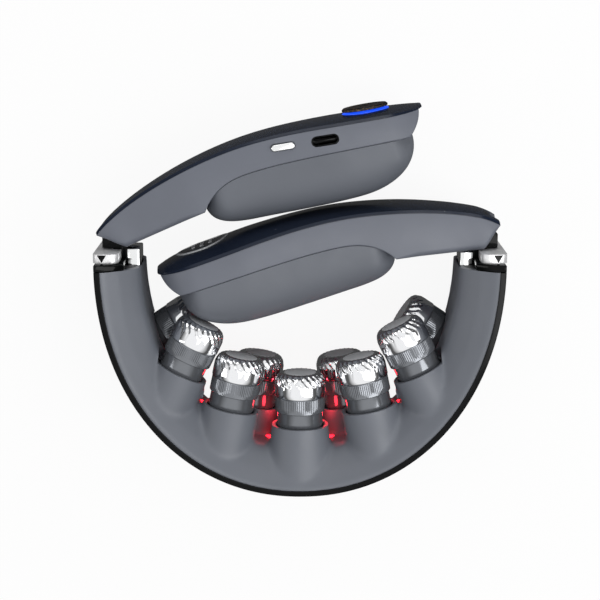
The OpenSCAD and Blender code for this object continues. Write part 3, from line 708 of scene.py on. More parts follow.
@dataclass(frozen=True)
class Finish:
    """A moulded or coated surface: colour, grain, smears and gloss."""

    name: str
    slot: str
    colour: str
    roughness: float = 0.4
    smears: float = 0.06
    metallic: float = 0.0
    tone: float = 0.05
    patch: float = 60.0
    grain: float = 3000.0
    depth: float = 0.006
    specular: float = 0.5
    smear_scale: float = 1.6

    def material(self) -> bpy.types.Material:
        """Gives the finish's material.

        Returns:
            The material, which is built once.
        """
        if self.name not in _materials:
            made = bpy.data.materials.new(self.name)
            made.use_nodes = True
            graph = Graph(made.node_tree)
            place = graph.add("ShaderNodeTexCoord").outputs["Object"]
            shader = self.shade(graph, place)
            graph.add("ShaderNodeOutputMaterial", {"Surface": shader.outputs[0]})
            _materials[self.name] = made
        return _materials[self.name]

    def effect(self, graph: Graph, kind: Effect, values: dict) -> bpy.types.Node:
        """Places a shared effect in the graph with its own values."""
        return graph.add("ShaderNodeGroup", values, node_tree=kind.tree())

    def tinted(self, graph: Graph, amount: object) -> bpy.types.NodeSocket:
        """Gives the colour, a little darker or lighter over the surface.

        Args:
            graph: The material's graph.
            amount: Socket that is 0 where the colour is darkest and 1 where it is lightest.

        Returns:
            The colour.
        """
        base = linear(self.colour)
        dark = tuple(c * (1 - 2 * self.tone) for c in base[:3]) + (1.0,)
        light = tuple(min(1.0, c * (1 + 2 * self.tone)) for c in base[:3]) + (1.0,)
        return graph.mixed(amount, dark, light)

    def shade(self, graph: Graph, place: bpy.types.NodeSocket) -> bpy.types.Node:
        """Builds the surface.

        Args:
            graph: The material's graph.
            place: Object coordinates.

        Returns:
            The shader node.
        """
        grain = self.effect(
            graph, Effect.GRAIN, {"Place": place, "Scale": self.grain, "Patch": self.patch}
        )
        smear = self.effect(
            graph,
            Effect.SMUDGE,
            {
                "Place": place,
                "Scale": self.smear_scale * self.patch,
                "Low": self.roughness,
                "High": self.roughness + self.smears,
            },
        )
        bump = graph.add(
            "ShaderNodeBump",
            {"Strength": 1.0, "Distance": self.depth * MM, "Height": grain.outputs["Height"]},
        )
        return graph.add(
            "ShaderNodeBsdfPrincipled",
            {
                "Base Color": self.tinted(graph, grain.outputs["Tone"]),
                "Metallic": self.metallic,
                "Roughness": smear.outputs["Roughness"],
                "Normal": bump.outputs[0],
                "Specular IOR Level": self.specular,
            },
        )


@dataclass(frozen=True)
class Lacquer(Finish):
    """A polished coat with a few specks of dust on it."""

    specks: float = 0.05
    speck_share: float = 0.25
    speck_tone: tuple[float, ...] = (0.3, 0.3, 0.3, 1.0)

    def shade(self, graph: Graph, place: bpy.types.NodeSocket) -> bpy.types.Node:
        """Builds the coat, paler where a speck lies.

        Args:
            graph: The material's graph.
            place: Object coordinates.

        Returns:
            The shader node.
        """
        shader = super().shade(graph, place)
        dust = self.effect(graph, Effect.DUST, {"Place": place, "Amount": self.specks})
        share = graph.maths("MULTIPLY", dust.outputs["Mask"], self.speck_share)
        graph.overlay(shader, share, self.speck_tone)
        return shader


@dataclass(frozen=True)
class Speckled(Finish):
    """Knurling: dark metal with brown flecks, part wear and part painted glints of the knurls."""

    fleck: str = "#8a6a4c"
    fleck_scale: float = 1500.0
    fleck_low: float = 0.52
    fleck_high: float = 0.7
    fleck_share: float = 0.8

    def shade(self, graph: Graph, place: bpy.types.NodeSocket) -> bpy.types.Node:
        """Builds the metal, with flecks scattered over it, part wear and part painted glints of the
        knurls.

        Args:
            graph: The material's graph.
            place: Object coordinates.

        Returns:
            The shader node.
        """
        shader = super().shade(graph, place)
        # Paler brown flecks in noise patches: part wear, part painted highlight standing for the
        # knurls' glints.
        wear_and_glint = graph.add(
            "ShaderNodeTexNoise", {"Vector": place, "Scale": self.fleck_scale, "Detail": 2.0}
        )
        ramp = graph.add(
            "ShaderNodeMapRange",
            {0: wear_and_glint.outputs[0], 1: self.fleck_low, 2: self.fleck_high, 3: 0.0, 4: self.fleck_share},
        )
        graph.overlay(shader, ramp.outputs[0], linear(self.fleck))
        return shader


@dataclass(frozen=True)
class Lit(Finish):
    """A clear coloured window with a lamp behind it."""

    power: float = 3.0

    def shade(self, graph: Graph, place: bpy.types.NodeSocket) -> bpy.types.Node:
        """Builds the window, brighter and darker in slow patches.

        Args:
            graph: The material's graph.
            place: Object coordinates.

        Returns:
            The shader node.
        """
        shader = super().shade(graph, place)
        glow = shader.inputs["Base Color"].links[0].from_socket
        graph.tree.links.new(glow, shader.inputs["Emission Color"])
        shader.inputs["Emission Strength"].default_value = self.power
        return shader


@dataclass(frozen=True)
class Tracks(Finish):
    """A circuit board: green mask with paler tracks and solder."""

    track: str = "#b9a66a"
    track_scale: float = 420.0
    track_width: float = 0.22
    track_share: float = 0.55

    def shade(self, graph: Graph, place: bpy.types.NodeSocket) -> bpy.types.Node:
        """Builds the mask, with fine square tracks over it.

        Args:
            graph: The material's graph.
            place: Object coordinates.

        Returns:
            The shader node.
        """
        shader = super().shade(graph, place)
        grid = graph.add(
            "ShaderNodeTexVoronoi",
            {"Vector": place, "Scale": self.track_scale},
            distance="MANHATTAN",
            feature="F1",
        )
        near = graph.maths("LESS_THAN", grid.outputs["Distance"], self.track_width)
        share = graph.maths("MULTIPLY", near, self.track_share)
        graph.overlay(shader, share, linear(self.track))
        return shader


BLACK = Lacquer("gloss black", "black_gloss", "#08090a", 0.08, 0.05, depth=0.001, specular=0.12)
SILICONE = Finish("grey silicone", "grey_silicone", "#6e727a", 0.4, 0.08, grain=2600, depth=0.008)
CASING = Finish("grey casing", "grey_case", "#6b6f79", 0.4, 0.07, grain=3400)
PADDING = Finish("grey padding", "grey_pad", "#666a72", 0.46, 0.08, grain=2200, depth=0.014)
NAVY = Lacquer("navy lacquer", "navy_cover", "#1a2232", 0.16, 0.06, depth=0.002, specular=0.3)
DOME_CHROME = Finish("dome chrome", "chrome_dome", "#eeeff1", 0.04, 0.05, 1.0, tone=0.01, depth=0.001)
DISC_METAL = Finish("matt disc", "chrome_dome", "#c3c5c8", 0.4, 0.08, 0.15, grain=5000, depth=0.006)
SLEEVE_PAINT = Finish("sleeve paint", "grey_sleeve", "#7d8085", 0.13, 0.04, 0.6, depth=0.001)
CHROME = Finish("trim chrome", "chrome", "#eceded", 0.06, 0.06, 1.0, tone=0.01, depth=0.001)
SATIN = Finish("satin chrome", "chrome", "#f4f4f5", 0.34, 0.06, 0.5, tone=0.01, depth=0.002)
PALE = Finish("pale emblem", "chrome", "#e4e6e8", 0.35, 0.06, 0.2, tone=0.01)
STEEL = Finish("satin steel", "steel", "#b8babd", 0.3, 0.1, 1.0, depth=0.004)
PLASTIC = Finish("black plastic", "black_plastic", "#1d1f22", 0.5, 0.08, depth=0.01)
RUBBER = Finish("black rubber", "black_rubber", "#1a1a1b", 0.75, 0.08, depth=0.014)
BOARD = Tracks("green board", "circuit_board", "#1d5a3a", 0.4, 0.08)
FOIL = Finish("heating foil", "heater_foil", "#b5651d", 0.35, 0.1, 0.4, depth=0.01)
WRAP = Finish("battery wrap", "battery_wrap", "#b4b7bc", 0.32, 0.08, 0.7)
MARKING = Finish("white marking", "white_mark", "#e6e6e6", 0.5, 0.06)
DIAL_METAL = Speckled("dial metal", "dark_dial", "#2b2b2e", 0.3, 0.1, 0.7, depth=0.006)
RED_LAMP = Lit("red window", "red_lamp", "#e0101c", 0.15, 0.05, power=12.0)
BLUE_LAMP = Lit("blue window", "blue_light", "#1a4be0", 0.2, 0.05, power=1.2)


# The body


@dataclass
class Horseshoe:
    """The U's outline: rings of one family, each set in by k from the outer face."""

    half_w: float = 68.0
    height: float = 79.3
    power: float = 2.1
    rise: float = 16.0
    end_drop: float = 2.7
    depth: float = 45.0
    wall: float = 2.0
    thick: float = 14.7
    inner_depth: float = 22.0
    inset_share: float = 0.94
    rim_step: float = 0.3

    @property
    def end_y(self) -> float:
        """Height of the body's ends, before the shift to the row frame."""
        return self.rise - self.end_drop

    @property
    def shift(self) -> Vector:
        """Move from the drawing's middle to the row frame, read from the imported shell."""
        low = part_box("outer_shell")[0].y / MM
        return Vector((0, low - (self.rise - self.height), self.depth / 2))

    def tall(self, k: float) -> float:
        """Height of ring k."""
        return self.height - k * self.inset_share

    def point(self, k: float, turn: float) -> Vector:
        """Gives a point of a ring.

        Args:
            k: How far the ring is set in.
            turn: Turn round the ring in radians.

        Returns:
            The point, before the shift to the row frame.
        """
        c, s = math.cos(turn), math.sin(turn)
        x = (self.half_w - k) * math.copysign(abs(c) ** (2 / self.power), c)
        return Vector((x, self.rise - self.tall(k) * abs(s) ** (2 / self.power), 0))

    def station(self, k: float, share: float) -> Vector:
        """Point of ring k at a share of the way round, from the right end to the left."""
        start = math.asin(((self.rise - self.end_y) / self.tall(k)) ** (self.power / 2))
        return self.point(k, start + (math.pi - 2 * start) * share)

    def wall_y(self, k: float, x: float) -> float:
        """Height of ring k at a place across."""
        part = 1 - (abs(x) / (self.half_w - k)) ** self.power
        return self.rise - self.tall(k) * part ** (1 / self.power)

    def rings(self, section: Sequence[Point], count: int, over: float = 0) -> list[list[Vector]]:
        """Places a section of (k, z) points all the way round.

        Args:
            section: The closed section.
            count: Number of pieces round the U.
            over: How far both ends run on past the body's ends.

        Returns:
            The rings, in the row frame.
        """
        made = []
        for share in spread(0, 1, count):
            made.append(
                [self.station(k, share) + self.shift + Vector((0, 0, z)) for k, z in section]
            )
        if over:
            made.insert(0, [p + Vector((0, over, 0)) for p in made[0]])
            made.append([p + Vector((0, over, 0)) for p in made[-1]])
        return made


@dataclass
class Head:
    """One massage head: its place, lean and row, and the form of its well.

    The row is 1 at the front and -1 at the back. Short is how much shorter the well is,
    and flare is how much wider the head's boss is at its foot.
    """

    number: int
    x: float
    depth: float
    lean: float
    row: int
    short: float = 0.0
    flare: float = 0.7


@dataclass
class Slide:
    """Sizes of the sliders and of the channels that they run in."""

    hinge_x: float = 61.3
    hinge_y: float = 26.4
    tongue_out: float = 1.6
    tongue_in: float = 2.9
    strip_w: float = 4.4
    half_z: float = 6.5
    length: float = 19.0
    gap: float = 0.3


@dataclass
class Body:
    """Outer shell, skin, lamps, ends and what lies inside."""

    u: Horseshoe = field(default_factory=Horseshoe)
    slide: Slide = field(default_factory=Slide)
    row_offset: float = 9.3
    sleeve_r: float = 7.7
    sleeve_in: float = 5.0
    sleeve_out: float = 4.8
    collar_r: float = 8.4
    collar_h: float = 5.3
    travel: float = 2.5
    well_gap: float = 0.4
    stop_room: float = 2.9
    boss_len: float = 18.0
    boss_r: float = 9.65
    mouth_room: float = 0.4
    boss_over: float = 3.0
    short_boss_over: float = 0.4
    short_boss_cut: float = 7
    lip: float = 0.35
    well_clear: float = 9
    shell_round: float = 0.45
    rim_round: float = 0.12
    end_trim: float = 0.02
    run_on: float = 3
    channel_out: float = 20
    trim_out: float = 12.0
    ring_bevel: float = 0.35
    cap_bevel: float = 0.3
    skin_steps: int = 110
    shell_steps: int = 160
    boss_steps: int = 48
    well_steps: int = 64
    lamp_steps: int = 32
    lamp_r: float = 1.5
    lamp_len: float = 4.5
    lamp_gap: float = 0.03
    lamp_dome: float = 0.45
    lamp_clear: float = 3
    lamp_x: tuple[float, ...] = (-33.5, -10.5, 10.5, 33.5)
    voxel: float = 0.75
    passes: int = 14
    softening: float = 0.5
    heads: tuple[Head, ...] = (
        Head(1, -40.5, 22.5, -26, 1),
        Head(2, -23.6, 35.2, -12, 1),
        Head(3, 0, 41.3, 0, 1, flare=2.3),
        Head(4, 23.6, 35.2, 12, 1),
        Head(5, 40.5, 22.5, 26, 1),
        Head(6, -50.4, 16.1, -56.4, -1, 1.2),
        Head(7, -16.5, 38.5, -9, -1),
        Head(8, 16.5, 38.5, 9, -1),
        Head(9, 50.4, 16.1, 56.4, -1, 1.2),
    )

    def at_head(self, head: Head) -> Matrix:
        """Frame at a head's mouth, with Z out along its axis."""
        place = Vector((head.x, -head.depth, head.row * self.row_offset)) + self.u.shift
        return standing(place, math.radians(head.lean))

    def at_lamp(self, x: float) -> Matrix:
        """Frame on the inner wall at a lamp.

        Args:
            x: The lamp's place across.

        Returns:
            The frame, with Z out of the wall.
        """
        k = self.u.thick
        lean = math.atan2(self.u.wall_y(k, x + 0.5) - self.u.wall_y(k, x - 0.5), 1)
        return standing(Vector((x, self.u.wall_y(k, x), 0)) + self.u.shift, lean)

    def section(self) -> list[Point]:
        """Draws the skin's section.

        Returns:
            Points of k and z. They start inside the shell's wall, so that the skin's edge
            is still full once it is trimmed there.
        """
        top, inner, t = self.u.depth / 2 - self.u.rim_step, self.u.inner_depth / 2, self.u.thick
        half = [
            (0.8, top),
            (self.u.wall + 0.6, top),
            (0.27 * t, top - 0.8),
            (0.54 * t, top - 3.4),
            (0.8 * t, top - 6.8),
            (0.94 * t, inner + 2.2),
            (t, inner),
            (t, 0.4 * inner),
        ]
        return [(k, -z) for k, z in half] + half[::-1]

    def channel(self, side: Side) -> Build:
        """Builds the cutter for the channel that a slider runs in.

        Args:
            side: The slider's side.

        Returns:
            The cutter, open past the body's end.
        """
        s, g = self.slide, self.slide.gap
        inner, outer = s.hinge_x - s.tongue_in - s.strip_w - g, s.hinge_x + s.tongue_out + g
        low, high = sorted((side.value * inner, side.value * outer))
        return moved(
            box(
                (low, self.u.end_y - s.length - g, -s.half_z - g),
                (high, self.u.end_y + self.channel_out, s.half_z + g),
            ),
            Matrix.Translation(self.u.shift),
        )

    def skin(self) -> Build:
        """Builds the skin: the U and its bosses, run together and opened for the heads.

        Returns:
            The skin, cut off at the body's ends and inside the shell's wall.
        """
        parts = [sweep(self.u.rings(self.section(), self.skin_steps, over=self.run_on))]
        for head in self.heads:
            low = -(self.boss_len - (self.short_boss_cut if head.short else 0))
            over = self.short_boss_over if head.short else self.boss_over
            profile = [
                (0, low),
                (self.boss_r + head.flare, low),
                (self.boss_r, 0),
                (self.boss_r, over),
                (0, over),
            ]
            parts.append(moved(turned_form(profile, self.boss_steps), self.at_head(head)))

        def blend(thing: bpy.types.Object) -> None:
            """Runs the parts together, then softens where they meet.

            Args:
                thing: The working object.
            """
            remesh = thing.modifiers.new("join", "REMESH")
            remesh.mode = "VOXEL"
            remesh.voxel_size = self.voxel
            smooth = thing.modifiers.new("soften", "SMOOTH")
            smooth.factor = self.softening
            smooth.iterations = self.passes

        skin = worked(joined(parts), blend)
        bmesh.ops.bisect_plane(
            skin,
            geom=skin.verts[:] + skin.edges[:] + skin.faces[:],
            plane_co=(0, self.u.end_y + self.u.shift.y - self.end_trim, 0),
            plane_no=(0, 1, 0),
            clear_outer=True,
        )
        bmesh.ops.holes_fill(skin, edges=[e for e in skin.edges if e.is_boundary], sides=0)
        return cut(skin, [*self.openings(), self.outside()])

    def outside(self) -> Build:
        """Builds the cutter for all that lies beyond the middle of the shell's wall.

        Returns:
            The cutter.
        """
        k, out, z = self.u.wall / 2, -self.trim_out, self.u.depth
        section = [(out, -z), (k, -z), (k, z), (out, z)]
        return sweep(self.u.rings(section, self.skin_steps, over=self.run_on))

    def openings(self) -> list[Build]:
        """Builds the cutters for the heads' wells, the lamps and the sliders' channels.

        Returns:
            The cutters.
        """
        cutters = [self.channel(Side.LEFT), self.channel(Side.RIGHT)]
        well_r = self.sleeve_r + self.well_gap
        for head in self.heads:
            floor = -(self.sleeve_in + self.travel + self.stop_room - 2 * head.short)
            ledge = self.sleeve_out - self.travel - self.well_gap
            wide = self.collar_r + self.well_gap
            profile = [(0, floor), (well_r, floor)]
            if head.short:
                profile += [(well_r, ledge), (wide, ledge)]
            else:
                wide = self.boss_r + self.mouth_room
                profile += [(well_r, -self.lip), (well_r + self.lip, 0), (wide, 0)]
            profile += [(wide, self.well_clear), (0, self.well_clear)]
            cutters.append(moved(turned_form(profile, self.well_steps), self.at_head(head)))
        for x in self.lamp_x:
            hole = rod(self.lamp_r, -self.lamp_len, self.lamp_clear)
            cutters.append(moved(hole, self.at_lamp(x)))
        return cutters

    def shell(self) -> Build:
        """Builds the outer shell.

        Returns:
            The shell, with its outer edges rounder than its inner ones.
        """
        w, z, r, n = self.u.wall, self.u.depth / 2, self.shell_round, self.rim_round
        corners = (
            arc(r, -z + r, r, 180, 270, 4)
            + arc(w - n, -z + n, n, 270, 360, 4)
            + arc(w - n, z - n, n, 0, 90, 4)
            + arc(r, z - r, r, 90, 180, 4)
        )
        return sweep(self.u.rings(corners, self.shell_steps))

    def lamps(self) -> Build:
        """Builds the four lamp windows, each with a low dome.

        Returns:
            The windows as one build.
        """
        r = self.lamp_r - self.lamp_gap
        profile = [(0, -self.lamp_len), (r, -self.lamp_len), (r, 0)]
        for a in spread(0.3, math.pi / 2, 5):
            profile.append((r * math.cos(a), self.lamp_dome * math.sin(a)))
        return joined(
            moved(turned_form(profile, self.lamp_steps), self.at_lamp(x)) for x in self.lamp_x
        )

    def make(self) -> None:
        """Makes every piece of the body."""
        piece("outer_shell_dressed", self.shell(), BLACK, "body", ["outer_shell"])
        piece("skin", self.skin(), SILICONE, "body", ["silicone_skin"], sharp=50)
        piece("lamp_lenses", self.lamps(), RED_LAMP, "body", ["lamp_windows"])
        for side in Side:
            ring, cap = f"end_ring_{side.word}", f"end_cap_{side.word}"
            for node, finish, bevel in (
                (ring, BLACK, self.ring_bevel),
                (cap, SATIN, self.cap_bevel),
            ):
                piece(f"{node}_dressed", rounded(node_copy(node), bevel), finish, "body", [node])
        dressed(["index_mark_left", "index_mark_right"], BLACK)
        dressed(["chassis"], PLASTIC)
        dressed(["head_stops"], RUBBER)
        dressed(["lamp_board"], BOARD)
        dressed(["vibration_motor"], STEEL)


# The heads


@dataclass
class Roller:
    """A head's chromed fluted dome, its matt disc and its ribbed sleeve."""

    body: Body
    dome_r: float = 8.6
    side_h: float = 4.0
    dome_h: float = 8.1
    disc_r: float = 5.6
    flutes: int = 24
    flute_depth: float = 0.42
    twist: float = 0.35
    stagger: float = 0.3
    fade: float = 0.12
    rounding: float = 1.6
    inward_share: float = 0.8
    down_share: float = 0.5
    ribs: int = 80
    rib_depth: float = 0.1

    def dome(self) -> Build:
        """Builds the dome, fluted on its shoulder.

        Returns:
            The dome, with Z out along its axis.
        """
        base = self.body.sleeve_out + self.body.collar_h
        shoulder = bezier(
            (self.dome_r, self.side_h),
            (self.dome_r, self.dome_h - 1.4),
            (self.disc_r + 1.9, self.dome_h),
            (self.disc_r, self.dome_h),
            18,
        )
        edge = [(self.dome_r - 0.35, 0), (self.dome_r - 0.1, 0.1), (self.dome_r, 0.35)]
        line = [(0, 0), *edge, (self.dome_r, 1.5), *shoulder, (0, self.dome_h - 0.15)]
        dome = turned_form(line, 8 * self.flutes)
        low, high = self.side_h + 0.2, self.dome_h
        for vert in dome.verts:
            r = vert.co.xy.length
            if vert.co.z > low and r > self.disc_r - 0.01:
                share = (vert.co.z - low) / (high - low)
                turn = math.atan2(vert.co.y, vert.co.x) + self.twist * share
                wave = 1 - abs(math.sin(0.5 * self.flutes * turn))
                begun = min(1, max(0, (share - self.stagger * wave) / self.fade))
                window = begun * min(1, (1 - share) / self.fade + 0.25)
                inward = self.flute_depth * window * (1 - wave**self.rounding)
                vert.co.xy *= (r - inward * self.inward_share) / r
                vert.co.z -= inward * self.down_share * share
        bmesh.ops.translate(dome, vec=(0, 0, base), verts=dome.verts)
        return dome

    def disc(self) -> Build:
        """Builds the matt disc let into the dome's top.

        Returns:
            The disc, with Z out along the dome's axis.
        """
        top = self.body.sleeve_out + self.body.collar_h + self.dome_h
        profile = [
            (0, top - 0.6),
            (self.disc_r - 0.1, top - 0.6),
            (self.disc_r - 0.1, top - 0.1),
            (self.disc_r - 0.35, top + 0.02),
            (1.2, top + 0.08),
            (0, top + 0.08),
        ]
        return turned_form(profile, 64)

    def sleeve(self, head: Head) -> Build:
        """Builds the sleeve with its ribbed collar.

        Args:
            head: The head that it belongs to.

        Returns:
            The sleeve, with Z out along its axis.
        """
        b = self.body
        low, out, r, c = -(b.sleeve_in - head.short), b.sleeve_out, b.sleeve_r, b.collar_r
        top = out + b.collar_h
        rows = [(c, h) for h in spread(out + 0.45, top - 0.35, 3)]
        profile = [
            (0, low),
            (r - 0.3, low),
            (r, low + 0.3),
            (r, out - 0.25),
            (r + 0.1, out),
            (c - 0.3, out),
            (c - 0.05, out + 0.2),
            *rows,
            (c - 0.3, top - 0.02),
            (0, top - 0.02),
        ]
        return ribbed(turned_form(profile, 2 * self.ribs), c - 0.02, self.rib_depth, self.ribs)

    def make(self) -> None:
        """Makes all nine heads."""
        for head in self.body.heads:
            place, on, n = self.body.at_head(head), f"head_{head.number}", head.number
            dome = moved(self.dome(), place)
            piece(f"dome_{n}_fluted", dome, DOME_CHROME, on, [f"dome_{n}"], 40)
            piece(f"dome_{n}_disc", moved(self.disc(), place), DISC_METAL, on)
            sleeve = moved(self.sleeve(head), place)
            piece(f"sleeve_{n}_ribbed", sleeve, SLEEVE_PAINT, on, [f"sleeve_{n}"], 25)


# Sliders


@dataclass
class Sliders:
    """The sliders with their strips, marks and hinge pins."""

    plate_bevel: float = 0.25
    strip_bevel: float = 0.45
    pin_bevel: float = 0.2
    least_angle: float = 40

    def make(self) -> None:
        """Makes the sliders' pieces on both sides."""
        for side in Side:
            on = f"{side.word}_slider"
            for node, finish, bevel in (
                ("slider", BLACK, self.plate_bevel),
                ("slider_strip", CHROME, self.strip_bevel),
                ("hinge_pin", STEEL, self.pin_bevel),
            ):
                name = f"{node}_{side.word}"
                form = rounded(node_copy(name), bevel, self.least_angle)
                piece(f"{name}_dressed", form, finish, on, [name])
            dressed([f"size_marks_{side.word}"], MARKING)


# Arms


@dataclass
class ArmShape:
    """An arm's outlines in its own frame: s from the hinge pin to the tip, y to the cover.

    Both arms share the outlines. Stretch and root say how much longer an arm is than they
    are, before and behind its pin.
    """

    side: Side
    rest: float
    crown: float
    stretch: float
    root: float
    u: Horseshoe
    slide: Slide = field(default_factory=Slide)
    length: float = 109.5
    half_w: float = 18.0
    hinge_half_w: float = 12.0
    tip_r: float = 14.0
    root_len: float = 7.0
    root_drop: float = 7.1
    arch_s: float = 44.0
    arch_y: float = 10.9
    arch_pull: float = 22.0
    tip_y: float = 1.3
    seam_s: float = 46.0
    seam_y: float = 1.9
    seam_root_y: float = -5.2
    pad_start: float = 30.0
    pad_drop: float = 20.0
    pad_waist: float = -14.6
    cover_rim: float = 0.9
    rim_tip_part: float = 0.3
    rim_fall: float = 20.0
    crown_s: float = 85
    fall_s: float = 95
    crown_power: float = 2.4
    root_taper: float = 2.2
    growth: tuple[Point, ...] = ((0.05, 0), (0.24, 0.42), (0.41, 0.6), (0.73, 1))
    rim_line: list[Point] = field(init=False)
    seam_line: list[Point] = field(init=False)
    low_line: list[Point] = field(init=False)

    def __post_init__(self) -> None:
        """Draws the outlines once."""
        n, a, top = self.length, self.arch_s, self.arch_y
        self.rim_line = bezier(
            (-self.root_len, 0), (0, 0.48 * top), (a - self.arch_pull, top), (a, top), 40
        )
        self.rim_line += bezier(
            (a, top), (a + self.arch_pull, top), (n - 24, self.tip_y + 3), (n - 1.5, self.tip_y), 40
        )[1:]
        s, y, root = self.seam_s, self.seam_y, self.seam_root_y
        nose = bezier((n - 1.5, self.tip_y), (n - 2.2, -1.5), (n - 4.5, -4), (n - 7.4, -5.8), 12)
        back = bezier((n - 7.4, -5.8), (s + 38, -3), (s + 14, y), (s, y), 36)
        heel = bezier((s, y), (s - 8, y), (self.pad_start + 3, root + 3.7), (self.pad_start, root), 20)
        self.seam_line = (back + heel[1:])[::-1]
        foot = bezier((0.8, -self.root_drop), (-2, -5), (-4.5, -2), (-self.root_len, 0), 16)
        self.low_line = foot[::-1] + self.seam_line + nose[::-1][1:]

    def drawn(self, s: float) -> float:
        """Place along the arm as built, with its own root and length."""
        return s * (self.root if s < 0 else self.stretch)

    def plain(self, s: float) -> float:
        """Place along the outlines that both arms share."""
        return s / (self.root if s < 0 else self.stretch)

    def rim(self, s: float) -> float:
        """Height of the casing's upper rim."""
        return lookup(self.plain(s), self.rim_line)

    def low(self, s: float) -> float:
        """Height of the casing's lower outline."""
        return lookup(self.plain(s), self.low_line)

    def seam(self, s: float) -> float:
        """Height of the seam between casing and pad."""
        return lookup(self.plain(s), self.seam_line)

    def plain_w(self, s: float) -> float:
        """Gives half the width, before the arm's stretch.

        Args:
            s: Place along the shared outlines.

        Returns:
            Half the width there.
        """
        grown = lookup(s / self.length, self.growth)
        part = max(0.0, s - self.length + self.tip_r) / self.tip_r
        nose = self.tip_r * (1 - math.sqrt(max(0.0, 1 - part * part)))
        root = self.root_taper * (max(0.0, -s) / self.root_len) ** 2
        return self.hinge_half_w + (self.half_w - self.hinge_half_w) * grown - nose - root

    def wide(self, s: float) -> float:
        """Half the width."""
        return self.plain_w(min(self.length, self.plain(s)))

    def top(self, s: float, z: float) -> float:
        """Gives the height of the cover's crowned top.

        Args:
            s: Place along the arm as built.
            z: Place across it.

        Returns:
            The height there.
        """
        p = self.plain(s)
        full = min(1.0, max(0.25, (p + self.root_len) / self.crown_s))
        if p > self.fall_s:
            part = (p - self.fall_s) / (self.length - self.fall_s + 1)
            full *= math.sqrt(max(0.05, 1 - part**2))
        share = min(1.0, abs(z) / self.wide(s))
        edge = self.cover_rim * min(1.0, self.rim_tip_part + (self.length - p) / self.rim_fall)
        return self.rim(s) + edge + self.crown * full * (1 - share**self.crown_power)

    @property
    def place(self) -> Matrix:
        """Gives the arm's folded place.

        Returns:
            The arm's frame, mirrored for the right arm.
        """
        hinge = Vector((self.side.value * self.slide.hinge_x, self.slide.hinge_y, 0))
        made = Matrix.Translation(hinge + self.u.shift) @ Matrix.Rotation(
            math.radians(self.rest), 4, "Z"
        )
        return made if self.side is Side.LEFT else made @ Matrix.Scale(-1, 4, (1, 0, 0))


